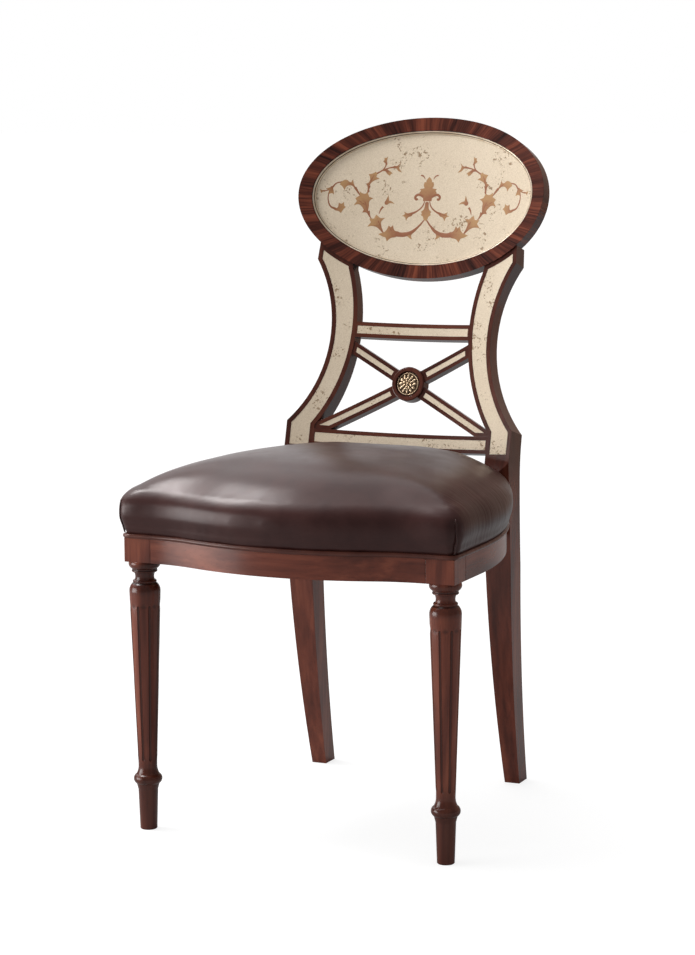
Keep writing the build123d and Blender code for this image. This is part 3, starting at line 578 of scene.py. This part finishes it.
# %% Under the seat
def bare_wood(grain, dark, light, rough, edge):
    """Unpolished wood between two shades, with its grain felt a little."""
    return {
        "Base Color": blend(grain, dark, light),
        "Roughness": grain * 0.2 + rough,
        "Normal": bumped(grain, 0.1, 0.0003, edge),
    }


def beech_varying(coords):
    fleck = cloud(stretched(coords, (0, 0, 0.8), (6, 1, 1)), 260, 3)
    return bare_wood(fleck, (0.42, 0.25, 0.12, 1), (0.62, 0.42, 0.23, 1), 0.5, 0.0008)


def plywood_varying(coords):
    grain = cloud(stretched(coords, (0, 0, 0), (8, 1, 1)), 120, 4, 0.5)
    return bare_wood(grain, (0.30, 0.17, 0.08, 1), (0.50, 0.33, 0.18, 1), 0.55, 0.0006)


def steel_varying(coords):
    turning = cloud(coords, 700, 2)
    return {
        "Base Color": blend(turning, (0.30, 0.29, 0.27, 1), (0.52, 0.50, 0.46, 1)),
        "Roughness": turning * 0.2 + 0.3,
    }


def cloth_varying(coords):
    threads = {"Vector": coords, "Scale": 320.0, "Distortion": 0.4}
    warp, weft = [coords.add("TexWave", {"bands_direction": way}, threads) for way in "XY"]
    weave = warp * 0.5 + weft * 0.5
    return {
        "Base Color": blend(weave, (0.006, 0.006, 0.006, 1), (0.030, 0.029, 0.028, 1)),
        "Normal": bumped(weave, 0.3, 0.0003, 0.0002),
    }


beech = finish("beech", beech_varying)
plywood = finish("plywood", plywood_varying)
screw_steel = finish("screw_steel", steel_varying, Metallic=1.0)
dust_cloth = finish("dust_cloth", cloth_varying, Roughness=0.9, Specular_IOR_Level=0.2)

# %% [markdown]
# Every solid that stays gets a finish by its slot in the record. Mahogany is split further by the way
# the grain runs: up the legs and posts, along the rails, and along each arm of the cross. The plywood
# behind the oval glass shows at the back of the chair, so it is faced with mahogany veneer.

# %% Dress the solids
slot_finishes = {
    "rosewood": rosewood,
    "antique_mirror": antique_mirror,
    "gilt": gilt,
    "beech": beech,
    "plywood": plywood,
    "screw_steel": screw_steel,
}
grain_groups = {
    "turned": ("front_leg_left", "front_leg_right"),
    "across": ("front_rail", "back_rail", "upper_cross_rail", "lower_cross_rail"),
    "forward": ("side_rail_left", "side_rail_right"),
    "rising_right": ("cross_arm_upper_right", "cross_arm_lower_left"),
    "rising_left": ("cross_arm_upper_left", "cross_arm_lower_right"),
}
grain_ways = {name: way for way, names in grain_groups.items() for name in names}
dressed = 0
for name, solid in nodes.items():
    slot = solid.data.materials[0].name
    wood = woods[grain_ways.get(name, "upright")]
    chosen = wood if slot == "mahogany" or name == "oval_backing" else slot_finishes.get(slot)
    if chosen:
        solid.data.materials[0] = chosen
        dressed += 1
print("solids dressed:", dressed)

# %% [markdown]
# Every modelled piece ends the same way: its mesh becomes an object at the origin with one finish, riding
# on the chair. Some start from copies of solids, whose triangles are joined first.

# %% Helpers that make pieces
sharp_from = math.radians(38)
join_gap = 0.00002


def piece(name, bm, material, turn_out=True):
    """An object at the origin from a finished bmesh, riding on the chair, with its finish."""
    if turn_out:
        bmesh.ops.recalc_face_normals(bm, faces=bm.faces)
    mesh = put(bm, bpy.data.meshes.new(name))
    stale_normals = mesh.attributes.get("custom_normal")
    if stale_normals:
        mesh.attributes.remove(stale_normals)
    mesh.shade_smooth()
    mesh.set_sharp_from_angle(angle=sharp_from)
    mesh.materials.append(material)
    made = bpy.data.objects.new(name, mesh)
    scene.collection.objects.link(made)
    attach(made, "root")
    print(name, "has", len(mesh.polygons), "faces")
    return made


def opened(mesh):
    """A bmesh of a mesh."""
    bm = bmesh.new()
    bm.from_mesh(mesh)
    return bm


def merged_copy(name):
    """A bmesh of a CAD node with its loose triangles joined."""
    bm = opened(nodes[name].data)
    bmesh.ops.remove_doubles(bm, verts=bm.verts, dist=join_gap)
    return bm


# %% [markdown]
# The seat is leather drawn over foam, crowned in the middle, with its edges pulled down to the rails.
# It could be modelled by hand, but the CAD holds its true form as cover, foam and board. Joined into one
# lump and remeshed with voxels, these give an even skin that can be worked like leather.

# %% Skin of the seat
seat_voxel = 0.0052

lump = merged_copy("leather_cover")
for inner in ("seat_foam", "seat_board"):
    lump.from_mesh(nodes[inner].data)
bmesh.ops.remove_doubles(lump, verts=lump.verts, dist=join_gap)
cushion = piece("seat_cushion", lump, leather)
bpy.context.view_layer.objects.active = cushion
cushion.data.remesh_voxel_size = seat_voxel
bpy.ops.object.voxel_remesh()
print("remeshed skin:", len(cushion.data.polygons), "faces")

# %% [markdown]
# The remesh leaves the inside of the cover behind as loose islands, and rounds every edge. So the largest
# island is kept, remeshed once more and laid back on the solid where that is near. Easing it in passes
# that start lower or higher then rounds the shoulder and leaves the corners full.

# %% Keep the outer skin and ease it
def islands(bm):
    """The groups of vertices that hang together, the largest first."""
    waiting = set(bm.verts)
    groups = []
    while waiting:
        group = {waiting.pop()}
        frontier = list(group)
        while frontier:
            near = {other for edge in frontier.pop().link_edges for other in edge.verts} - group
            group |= near
            frontier.extend(near)
        waiting -= group
        groups.append(group)
    return sorted(groups, key=len, reverse=True)


snap_look = 0.0060
snap_reach = 0.0045
underside = -0.5
shoulder_passes = 24
shoulder_low = 0.438
shoulder_high = 0.486
middle_passes = 40
middle_foot = 0.445
corner_room = 0.03
corner_growth = 0.06
crown_passes = 30
crown_foot = 0.492
corners = [Vector((x * side, y)) for side in (-1, 1) for x, y in ((0.250, -0.262), (0.170, 0.165))]


def ease(bm, verts, passes=1, factor=0.5):
    """Moves each vertex part of the way to the middle of its neighbours, so many times."""
    for _ in range(passes):
        bmesh.ops.smooth_vert(bm, verts=verts, factor=factor,
                              use_axis_x=True, use_axis_y=True, use_axis_z=True)


def outer_skin(mesh):
    """A bmesh of the largest island of a mesh only, eased."""
    bm = opened(mesh)
    for group in islands(bm)[1:]:
        bmesh.ops.delete(bm, geom=list(group), context="VERTS")
    ease(bm, bm.verts, 3)
    return bm


put(outer_skin(cushion.data), cushion.data)
bpy.ops.object.voxel_remesh()
shell = outer_skin(cushion.data)
graph = bpy.context.evaluated_depsgraph_get()
cad_skin = BVHTree.FromObject(nodes["leather_cover"], graph)
shell.normal_update()
for vertex in shell.verts:
    nearest = cad_skin.find_nearest(vertex.co + vertex.normal * snap_look)[0]
    if vertex.normal.z > underside and (nearest - vertex.co).length < snap_reach:
        vertex.co = nearest
ease(shell, shell.verts)
for number in range(shoulder_passes):
    foot = shoulder_low + (shoulder_high - shoulder_low) * number / shoulder_passes
    ease(shell, [vertex for vertex in shell.verts if vertex.co.z > foot])
for number in range(middle_passes):
    hold = corner_room + corner_growth * number / middle_passes
    ease(shell, [vertex for vertex in shell.verts if vertex.co.z > middle_foot
                 and min((vertex.co.xy - corner).length for corner in corners) > hold])
ease(shell, [vertex for vertex in shell.verts if vertex.co.z > crown_foot], crown_passes)
put(shell, cushion.data)
print("skin faces:", len(cushion.data.polygons))

# %% [markdown]
# Stuffed leather swells between the places where it is held. A cloth simulation with a little air pressure
# shows by how much. Left alone it creases at the shoulder, and this hide was stretched smooth before it was
# tacked down, so only its outward lift is kept, capped and evened out.

# %% Let the leather settle
posts = [BVHTree.FromObject(nodes[side], graph) for side in ("back_post_left", "back_post_right")]
post_room = (0.003, 0.024)


def smooth_rise(value, low, high):
    """0 below low, 1 above high, and a smooth rise between."""
    share = min(1, max(0, (value - low) / (high - low)))
    return share * share * (3 - 2 * share)


def free_of_posts(place):
    """0 beside a back post, where the cover is cut to fit round it, and 1 well away from both."""
    return smooth_rise(min(post.find_nearest(place)[3] for post in posts), *post_room)


def evaluated(thing):
    """An object as its modifiers leave it."""
    return thing.evaluated_get(bpy.context.evaluated_depsgraph_get())


settle_frames = 16
settle_pressure = 4.0
settle_cap = 0.0038
tacked_band = 0.010
swell_passes = 40
seat_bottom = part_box("leather_cover")[0].z
rest_places = [vertex.co.copy() for vertex in cushion.data.vertices]
tacked = [vertex.index for vertex in cushion.data.vertices if vertex.co.z < seat_bottom + tacked_band]
held = cushion.vertex_groups.new(name="held")
held.add(tacked, 1.0, "REPLACE")
settled = rest_places
settle = cushion.modifiers.new("settle", "CLOTH")
settle.settings.use_pressure = True
settle.settings.uniform_pressure_force = settle_pressure
settle.settings.vertex_group_mass = "held"
settle.settings.effector_weights.gravity = 0.0
settle.settings.quality = 4
for frame_number in range(1, settle_frames + 1):
    scene.frame_set(frame_number)
settled = [vertex.co.copy() for vertex in evaluated(cushion).data.vertices]
cushion.modifiers.remove(settle)
scene.frame_set(1)
rest_normals = [vertex.normal.copy() for vertex in cushion.data.vertices]
swell = [min(settle_cap, max(0, (place - rest).dot(normal)))
         for place, rest, normal in zip(settled, rest_places, rest_normals)]
beside = [[] for _ in swell]
for edge in cushion.data.edges:
    first, second = edge.vertices
    beside[first].append(second)
    beside[second].append(first)
for _ in range(swell_passes):
    swell = [(own + sum(swell[other] for other in near) / len(near)) / 2
             for own, near in zip(swell, beside)]
for vertex, rest, normal, rise in zip(cushion.data.vertices, rest_places, rest_normals, swell):
    vertex.co = rest + normal * rise * free_of_posts(rest)
print("the skin is lifted by up to", round(max(swell), 4))

# %% [markdown]
# One subdivision, and then what stuffing and tacks do: the walls belly out over the rails, the lower edge
# is drawn down tight to the welt, and the hide is never quite even. Beside the posts it only keeps clear.

# %% Finish the skin
edge_fade = (0.433, 0.444)
edge_turn = (0.4265, 0.4295)
edge_reach = 0.0026
belly_foot = (0.436, 0.456)
belly_head = (0.472, 0.505)
belly_reach = 0.0034
hide_unevenness = 0.0006
hide_waves = 22
seat_clearance = 0.0004
post_near = 0.02
wall_lean = 0.2

subdivision = cushion.modifiers.new("subdivision", "SUBSURF")
subdivision.levels = 1
fine_mesh = bpy.data.meshes.new_from_object(evaluated(cushion))
cushion.modifiers.remove(subdivision)
skin = opened(fine_mesh)
for edge in skin.edges:
    edge.smooth = True
bpy.data.meshes.remove(fine_mesh)
skin.normal_update()
for vertex in skin.verts:
    place, normal = vertex.co.copy(), vertex.normal.copy()
    outward = Vector((normal.x, normal.y, 0))
    move = normal * hide_unevenness * noise.noise(place * hide_waves)
    if outward.length > wall_lean:
        near_edge = (1 - smooth_rise(place.z, *edge_fade)) * smooth_rise(place.z, *edge_turn)
        move += outward.normalized() * edge_reach * near_edge
        belly = smooth_rise(place.z, *belly_foot) * (1 - smooth_rise(place.z, *belly_head))
        move += outward * belly_reach * belly
    vertex.co = place + move * free_of_posts(place)
    vertex.co.z = max(vertex.co.z, seat_bottom)
    for post in posts:
        nearest, post_normal, _, gap = post.find_nearest(vertex.co)
        if gap < post_near and (vertex.co - nearest).dot(post_normal) < seat_clearance:
            vertex.co = nearest + post_normal * seat_clearance
put(skin, cushion.data)
cushion.data.shade_smooth()
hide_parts("leather_cover", "seat_foam")
seat_top = max(vertex.co.z for vertex in cushion.data.vertices)
print("seat faces:", len(cushion.data.polygons), "top at", round(seat_top, 4))

# %% [markdown]
# At each front corner the cover is sewn: two panels meet in an upright seam that stands a little proud
# between two hollows, and its end is tucked over at the shoulder. Its points are found on the skin: at each
# height, the one that lies furthest out.

# %% Corner seams
seam_low = 0.4305
seam_high = 0.4740
seam_points = 12
seam_radius = 0.0012
seam_hollow = 0.0024
seam_spread = 0.0048
seam_sunk = 0.0012
seam_slice = 0.003
seam_zone = 0.2
seam_fade = (seam_high - 0.006, seam_high + 0.004)
tuck_route = [(0.002, 0, 0.0042), (0.007, 0.003, 0.00336)]
pucker_spread = 0.014
pucker_height = 0.0012
pucker_waves = Vector((90, 90, 14))


def outward_corner(side):
    """The way out at a front corner, on the side -1 or 1."""
    return Vector((0.75 * side, -0.66, 0))


def corner_points(verts, side):
    """Points up a front corner of the skin."""
    corner = outward_corner(side)
    points = []
    for number in range(seam_points):
        height = seam_low + (seam_high - seam_low) * number / (seam_points - 1)
        level = [vertex.co for vertex in verts if abs(vertex.co.z - height) < seam_slice]
        outermost = max(level, key=lambda place: place.dot(corner))
        points.append(Vector((outermost.x, outermost.y, height)))
    middle = [(a + 2 * b + c) / 4 for a, b, c in zip(points, points[1:], points[2:])]
    return [points[0]] + middle + [points[-1]]


def cord(name, radius, roundness):
    """A curve that will be drawn as a round cord with closed ends."""
    curve = bpy.data.curves.new(name, "CURVE")
    curve.dimensions = "3D"
    curve.bevel_depth = radius
    curve.bevel_resolution = roundness
    curve.use_fill_caps = True
    return curve


seam_curve = cord("seams", seam_radius, 3)
skin = opened(cushion.data)
for side in (-1, 1):
    seam_line = corner_points(skin.verts, side)
    top = seam_line[-1]
    for vertex in skin.verts:
        if vertex.co.x * side < seam_zone or vertex.co.y > -seam_zone:
            continue
        gap = min((vertex.co - point).length for point in seam_line)
        fold = noise.noise(vertex.co * pucker_waves)
        low_part = 1 - smooth_rise(vertex.co.z, *seam_fade)
        near = math.exp(-(gap / pucker_spread) ** 2) * low_part
        hollow = math.exp(-(gap / seam_spread) ** 2) * low_part
        vertex.co += vertex.normal * (near * fold * pucker_height - hollow * seam_hollow)
    inward = -outward_corner(side)
    tuck = [top + inward * reach + Vector((0, back, up)) for reach, back, up in tuck_route]
    route = [point + inward * seam_sunk for point in seam_line] + tuck
    spline = seam_curve.splines.new("NURBS")
    spline.points.add(len(route) - 1)
    for knot, place in zip(spline.points, route):
        knot.co = (*place, 1)
    spline.use_endpoint_u = True
    spline.order_u = 4
put(skin, cushion.data)


def drawn(curve):
    """The mesh of a curve, as a bmesh."""
    holder = bpy.data.objects.new(curve.name, curve)
    mesh = bpy.data.meshes.new_from_object(holder)
    bpy.data.objects.remove(holder)
    bm = opened(mesh)
    bpy.data.meshes.remove(mesh)
    return bm


piece("corner_seams", drawn(seam_curve), leather, turn_out=False)

# %% [markdown]
# A leather welt, a cord sewn into a strip of hide, covers the joint between the seat and the rails. The CAD
# tube has the right path, so it is copied, and the cord inside is felt as a slight unevenness.

# %% Welt
welt_lumps = 0.00018
welt_waves = 160
welt_ease = 0.3

welt_bm = merged_copy("welt")
ease(welt_bm, welt_bm.verts, factor=welt_ease)
for vertex in welt_bm.verts:
    vertex.co += vertex.normal * welt_lumps * noise.noise(vertex.co * welt_waves)
welt = piece("leather_welt", welt_bm, welt_leather)
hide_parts("welt")

# %% [markdown]
# The underside is closed with a thin black cloth, tacked round its edge, so it hangs a little in the
# middle. One flat face is inset ring by ring and each ring is let down, which gives the sag with few faces.

# %% Dust cloth
cloth_sag = 0.0022
cloth_rings = 6
cloth_ring_width = 0.024
cloth_thickness = 0.0006

cloth_bm = merged_copy("dust_cover")
all_but_top = [face for face in cloth_bm.faces if face.normal.z < 0.5]
bmesh.ops.delete(cloth_bm, geom=all_but_top, context="FACES")
middle = bmesh.ops.dissolve_faces(cloth_bm, faces=cloth_bm.faces)["region"]
for ring in range(cloth_rings):
    bmesh.ops.inset_region(cloth_bm, faces=middle, thickness=cloth_ring_width, use_even_offset=True)
    fall = cloth_sag / cloth_rings * (1 - ring / cloth_rings)
    lowered = list({vertex for face in middle for vertex in face.verts})
    bmesh.ops.translate(cloth_bm, verts=lowered, vec=(0, 0, -fall))
bmesh.ops.solidify(cloth_bm, geom=cloth_bm.faces, thickness=cloth_thickness)
cloth = piece("dust_cloth", cloth_bm, dust_cloth)
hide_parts("dust_cover")

# %% [markdown]
# Where the neck of each front leg meets the cap, the turner left two small round beads, with a sharp quirk
# below the one and above the other; the quirks are painted as thin lines of shade. On the lathe each bead
# is one cut; here a circle is spun round the axis.

# %% Turned beads on the front legs
turned_beads = [(0.3592, 0.0146, 0.0023), (0.3741, 0.0166, 0.0016)]


def spun_ring(bm, centre, reach, radius, sides, steps):
    """A round wire of that radius, spun upright round a centre at that reach."""
    upright = Matrix.Translation(centre + Vector((reach, 0, 0))) @ Matrix.Rotation(math.radians(90), 4, "X")
    circle = bmesh.ops.create_circle(bm, segments=sides, radius=radius, matrix=upright)["verts"]
    circle_edges = list({edge for vertex in circle for edge in vertex.link_edges})
    bmesh.ops.spin(bm, geom=circle + circle_edges, cent=centre, axis=(0, 0, 1), angle=math.tau, steps=steps,
                   use_merge=True)


rings = bmesh.new()
for side in (-1, 1):
    for height, reach, radius in turned_beads:
        spun_ring(rings, Vector((leg_axis[0] * side, leg_axis[1], height)), reach, radius, 16, 56)
piece("turned_leg_beads", rings, woods["turned"])

# %% [markdown]
# A gilded moulding holds the glass in the oval: a round bead against the wood, a quirk darkened with
# painted shade, and a small slope down to the glass. Its section is carried round the ellipse on the
# bowed sheet, station by station, and neighbouring stations are bridged with faces.

# %% Gilded moulding
lip_half = (0.1792, 0.1043)
glass_depth = 0.0020
stations = 180
# The third number of each point is painted shade on the gilt, darkest in the quirk and at the glass edge.
moulding = [
    (0.0000, 0.0000, 0), (0.0000, 0.0030, 0), (0.0003, 0.0038, 0), (0.0009, 0.0042, 0),
    (0.0016, 0.0041, 0), (0.0022, 0.0034, 0), (0.0025, 0.0024, 0.6), (0.0027, 0.0014, 1),
    (0.0031, 0.0013, 1), (0.0033, 0.0018, 0.3), (0.0037, 0.0019, 0), (0.0044, 0.0011, 0),
    (0.0046, 0.0000, 0.4),
]

moulding_bm = bmesh.new()
quirk_shade_layer = moulding_bm.verts.layers.float.new("hollow")
rows = []
for number in range(stations):
    turn = math.tau * number / stations
    inward = -Vector((math.cos(turn) / lip_half[0], math.sin(turn) / lip_half[1])).normalized()
    row = []
    for inset, height, hollow in moulding:
        u = lip_half[0] * math.cos(turn) + inward.x * inset
        v = oval_v + lip_half[1] * math.sin(turn) + inward.y * inset
        vertex = moulding_bm.verts.new(on_back(u, v, glass_depth - height))
        vertex[quirk_shade_layer] = hollow
        row.append(vertex)
    rows.append(row)
for row, next_row in zip(rows, rows[1:] + rows[:1]):
    for number in range(len(moulding)):
        after = (number + 1) % len(moulding)
        moulding_bm.faces.new((row[number], row[after], next_row[after], next_row[number]))
bead = piece("gilded_moulding", moulding_bm, gilt)
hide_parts("oval_bead")

# %% [markdown]
# The oval is gilded with a leafy scroll, a rinceau: one stem winds outwards and puts out a leaf at each
# turn, and a palmette stands in the middle. It is drawn flat, in millimetres, on the right half only.
# Stems are curves with a thickness that tapers, so each has its route and its widths.

# %% Stems
gilding_relief = 0.00022
stem_thickness = 0.00062
stem_routes = [
    ([(1, 258), (10, 247), (21, 237.5), (32, 233.8), (46, 234)], (1.4, 2.6, 4.6, 5.8, 6.0)),
    ([(61, 233), (66, 236), (69.5, 241)], (2.0, 1.8, 2.6)),
    ([(86, 256), (89.5, 260), (93, 268)], (1.0, 1.8, 4.4)),
    ([(97, 294), (96.3, 300), (95, 308)], (1.2, 1.8, 3.4)),
    ([(87, 326), (82, 329), (76, 332.5), (66, 336.5), (56, 338.2)], (2.4, 1.9, 1.7, 1.6, 2.6)),
    ([(77, 332), (73, 338), (71.8, 344)], (1.8, 1.5, 2.0)),
    ([(79, 332), (72, 332.5), (67, 330.5)], (1.4, 2.6, 3.4)),
    ([(108, 292), (111, 296), (117, 304)], (1.2, 2.0, 3.4)),
    ([(138, 311.5), (146, 309), (152, 302), (159, 297), (167, 295.5)], (1.8, 1.6, 2.2, 1.4, 1.2)),
    ([(154, 301), (156.5, 291), (155.5, 280), (151, 272), (144, 269.3)], (1.4, 1.3, 1.6, 2.0, 2.8)),
    ([(70, 276), (73, 272), (75.5, 264.5)], (2.8, 2.2, 0.8)),
    ([(4, 286), (7, 278), (15, 270.5), (25, 265.8)], (1.2, 1.8, 2.0, 3.4)),
    ([(7, 320), (8.5, 323), (11.5, 325.5), (14.5, 326)], (0.8, 1.4, 2.0, 1.6)),
    ([(7, 293), (13, 296), (18, 295), (20, 291.5), (18, 288.6), (15.6, 289.6)],
     (3.6, 3.4, 3.2, 3.2, 3.0, 2.6)),
]


def bezier(curve, points):
    """A new spline through points in millimetres, sharp where a point has a third number."""
    spline = curve.splines.new("BEZIER")
    spline.bezier_points.add(len(points) - 1)
    for knot, (u, v, *sharp) in zip(spline.bezier_points, points):
        knot.co = (u / 1000, v / 1000, 0)
        knot.handle_left_type = knot.handle_right_type = "VECTOR" if sharp else "AUTO"
    return spline


stem_curve = cord("stems", stem_thickness, 1)
stem_curve.resolution_u = 8
for route, widths in stem_routes:
    for knot, width in zip(bezier(stem_curve, route).bezier_points, widths):
        knot.radius = width
gilding = drawn(stem_curve)
gilding.verts.layers.float.new("tip")
bmesh.ops.scale(gilding, verts=gilding.verts, vec=(1, 1, gilding_relief / (4 * stem_thickness)))
print("stem faces:", len(gilding.faces))

# %% [markdown]
# A gilder lays each leaf as a flat shape with a crisp edge. So a leaf here is a filled curve: its outline
# starts at the stalk, and a third number marks where it comes to a point. Thin lenses on top are the veins.

# %% Leaves
vein_relief = 1.6
leaves = [
    [(40, 236.3), (48, 240), (51.7, 247.8, 1), (54.6, 244.4, 1), (58.3, 247.2, 1), (60.5, 241),
     (64, 237, 1), (73.3, 233.3, 1), (67, 230), (61.5, 228.5, 1), (58.7, 222.3, 1), (53.5, 227.5),
     (44, 230.4)],
    [(67.8, 237), (69.5, 245), (70.5, 252.5), (65, 258.7, 1), (72.5, 258, 1), (79.7, 263.5, 1),
     (82.5, 257, 1), (90, 256.8, 1), (86.8, 251, 1), (92, 243.8, 1), (84, 245.3), (76.5, 243.3),
     (71, 239.3)],
    [(89, 259), (92.8, 267), (92.6, 276), (92.3, 284), (87, 288.5, 1), (93.5, 290.5, 1),
     (96.7, 297, 1), (102, 294.8), (109.3, 298.2, 1), (108.3, 292, 1), (115, 287.3, 1), (112, 283, 1),
     (116.2, 276.2, 1), (108.5, 278), (103, 274), (100, 270, 1), (101.9, 265.6, 1), (95.5, 265.5),
     (91.8, 261.5)],
    [(95.6, 297), (95, 305), (92.8, 312), (87.5, 316.3), (80, 319.2, 1), (85.6, 321.8, 1),
     (84.6, 326.5), (87, 329.9, 1), (91, 327.3), (97.9, 325.4, 1), (95.3, 320.5), (96, 313.5),
     (100.8, 310.5, 1), (98, 306.5), (97, 300)],
    [(110.5, 295), (115, 302.5), (119, 308.5), (121.5, 316.5, 1), (124.5, 312), (131.5, 315.3),
     (138.5, 311.8), (141, 307.3, 1), (136.8, 304.5), (132.8, 298.8, 1), (130.3, 304.8), (124, 306.8),
     (118, 303), (113, 296.5)],
    [(146, 271), (141.5, 270.5), (139.5, 279, 1), (135.5, 277.5), (131.5, 280.5, 1), (131, 275.5),
     (128.2, 272.5, 1), (131.5, 269), (134.7, 262.8, 1), (138.5, 265.5), (146, 268)],
    [(153, 304), (149.5, 297), (148, 291.3, 1), (152.5, 293), (156, 291.3, 1), (156.3, 296.5),
     (161.5, 299.5, 1), (154.5, 302.5)],
    [(162, 296.5), (167, 296.8), (169.8, 298.8, 1), (169, 295), (167.6, 291.8, 1), (165.5, 294.4),
     (162, 295)],
    [(60, 339.3), (54.5, 340), (48.8, 345.5, 1), (51, 338), (45.3, 329.8, 1), (51.5, 332), (56, 336.3),
     (60, 337)],
    [(74, 334.5), (66, 332.3), (60, 327.8, 1), (63, 327.2, 1), (64, 324.2, 1), (67.5, 326), (72, 331)],
    [(71, 341), (71.3, 347), (70.3, 354.5, 1), (73.5, 352), (76, 352.3, 1), (75.5, 349),
     (77.3, 346.3, 1), (73.8, 343.5)],
    [(68.4, 281.5), (66, 287.5), (63.2, 294.5, 1), (61.8, 286, 1), (57, 284.5), (52.3, 280.8, 1),
     (60, 281.8), (65.5, 279)],
    [(22, 267.3), (30, 267), (36, 269.7, 1), (34.5, 265.5), (38.9, 262.8, 1), (34, 261),
     (31.3, 255.2, 1), (28.5, 260.5), (22.5, 263.5)],
    [(19, 238), (20.5, 232), (18.2, 226.5, 1), (23.5, 229), (27, 233)],
]
half_palmette = [
    (0, 286.3, 1), (7, 286.3, 1), (7.2, 290), (8.5, 293.6), (12.3, 296), (14.2, 299.3, 1),
    (11.8, 302.3, 1), (13.9, 304.7, 1), (9.5, 305.5), (6.5, 306.3, 1), (8.3, 310.5), (7.3, 315.8, 1),
    (4.6, 315.5, 1), (4.3, 318.5), (0, 323.8, 1),
]
half_calyx = [
    (0, 285, 1), (2.6, 284), (3, 279), (4.6, 273), (8.6, 269.6, 1), (7, 267.6, 1), (8, 264.2, 1),
    (4.8, 262.3), (3, 257.8), (0, 255.6, 1),
]
veins = [
    [(36, 234), (50, 235.4), (66, 233.6)], [(70, 243), (74, 251), (79.3, 260.5)],
    [(92, 263), (97, 277), (104, 292)], [(96, 304), (93, 316), (88.5, 326)],
    [(115, 301), (124, 309.3), (137, 308.3)], [(97, 277), (104, 281), (111, 284.5)],
    [(48, 235.3), (53, 239), (56.5, 244)], [(25, 265.8), (30, 264.6), (35.5, 263.6)],
]


def whole(half):
    """A symmetric outline from its right half, which starts and ends on the middle line."""
    return half + [(-u, *rest) for u, *rest in reversed(half[1:-1])]


def draw_leaf(outline, relief=1.0, tone=1.0):
    """Adds a filled leaf to the gilding, marked from its stalk, where the outline starts, to its tip."""
    curve = bpy.data.curves.new("leaf", "CURVE")
    curve.dimensions = "2D"
    curve.fill_mode = "BOTH"
    curve.extrude = gilding_relief / 2 * relief
    curve.resolution_u = 5
    bezier(curve, outline).use_cyclic_u = True
    leaf = drawn(curve)
    stalk = Vector((outline[0][0], outline[0][1], 0)) / 1000
    length = max((vertex.co - stalk).length for vertex in leaf.verts)
    tip = leaf.verts.layers.float.new("tip")
    for vertex in leaf.verts:
        vertex[tip] = (vertex.co - stalk).length / length * tone
    mesh = put(leaf, bpy.data.meshes.new("leaf"))
    gilding.from_mesh(mesh)
    bpy.data.meshes.remove(mesh)


def vein_outline(points, width=0.7):
    """A thin lens along three points, in millimetres."""
    (u0, v0), (u1, v1), (u2, v2) = points
    across = Vector((v0 - v2, u2 - u0)).normalized() * width
    return [(u0, v0, 1), (u1 + across.x, v1 + across.y), (u2, v2, 1), (u1 - across.x, v1 - across.y)]


for outline in leaves:
    draw_leaf(outline)
for vein in veins:
    draw_leaf(vein_outline(vein), vein_relief, 0.0)
print("faces with leaves:", len(gilding.faces))

# %% [markdown]
# The left half is the right one mirrored, as a gilder turns the stencil over. The drawing is then pressed
# on to the bowed glass.

# %% Mirror the drawing and press it on
gilding_join = 0.00001

half = gilding.verts[:] + gilding.edges[:] + gilding.faces[:]
copied = bmesh.ops.duplicate(gilding, geom=half)["geom"]
other_half = [part for part in copied if isinstance(part, bmesh.types.BMVert)]
bmesh.ops.scale(gilding, verts=other_half, vec=(-1, 1, 1))
draw_leaf(whole(half_palmette))
draw_leaf(whole(half_calyx))
bmesh.ops.remove_doubles(gilding, verts=gilding.verts, dist=gilding_join)
for vertex in gilding.verts:
    u, v, height = vertex.co
    vertex.co = on_back(u, v, glass_depth - height)
piece("gilded_scrollwork", gilding, scroll_gilding)

# %% [markdown]
# A cast brass rosette is pinned into the hollow of the boss where the arms cross: a round rim, two rings
# of petals and a domed pin. The petals are squashed spheres, which at this size read as cast metal.

# %% Rosette
rosette_radius = 0.0175
rosette_floor = -0.0010
rim_width = 0.0011
rim_lift = 0.0016
plate_depth = 0.0012
pin_radius = 0.0027
pin_lift = 0.0024
petal_rings = [
    (12, 0.0107, 0.0088, 0.0050, 0.0034, 0.0014, 0.0),
    (8, 0.0060, 0.0066, 0.0040, 0.0038, 0.0020, 0.5),
]

rosette = bmesh.new()
bmesh.ops.create_cone(rosette, cap_ends=True, segments=48, radius1=rosette_radius,
                      radius2=rosette_radius * 0.97, depth=plate_depth,
                      matrix=Matrix.Translation((0, 0, plate_depth / 2)))
spun_ring(rosette, Vector((0, 0, rim_lift)), rosette_radius - rim_width, rim_width, 10, 60)
for count, reach, length, width, height, lift, start in petal_rings:
    petal = Matrix.Translation((reach, 0, lift)) @ Matrix.Diagonal((length / 2, width / 2, height / 2, 1))
    for number in range(count):
        turn = Matrix.Rotation(math.tau * (number + start) / count, 4, "Z")
        bmesh.ops.create_uvsphere(rosette, u_segments=14, v_segments=8, radius=1, matrix=turn @ petal)
bmesh.ops.create_uvsphere(rosette, u_segments=20, v_segments=12, radius=pin_radius,
                          matrix=Matrix.Translation((0, 0, pin_lift)))
rosette_axes = Matrix((Vector((1, 0, 0)), sheet_up, sheet_front)).transposed().to_4x4()
rosette_place = Matrix.Translation(cross_centre + sheet_front * rosette_floor) @ rosette_axes
bmesh.ops.transform(rosette, matrix=rosette_place, verts=rosette.verts)
rosette_piece = piece("brass_rosette", rosette, antique_brass)
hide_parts("rosette")
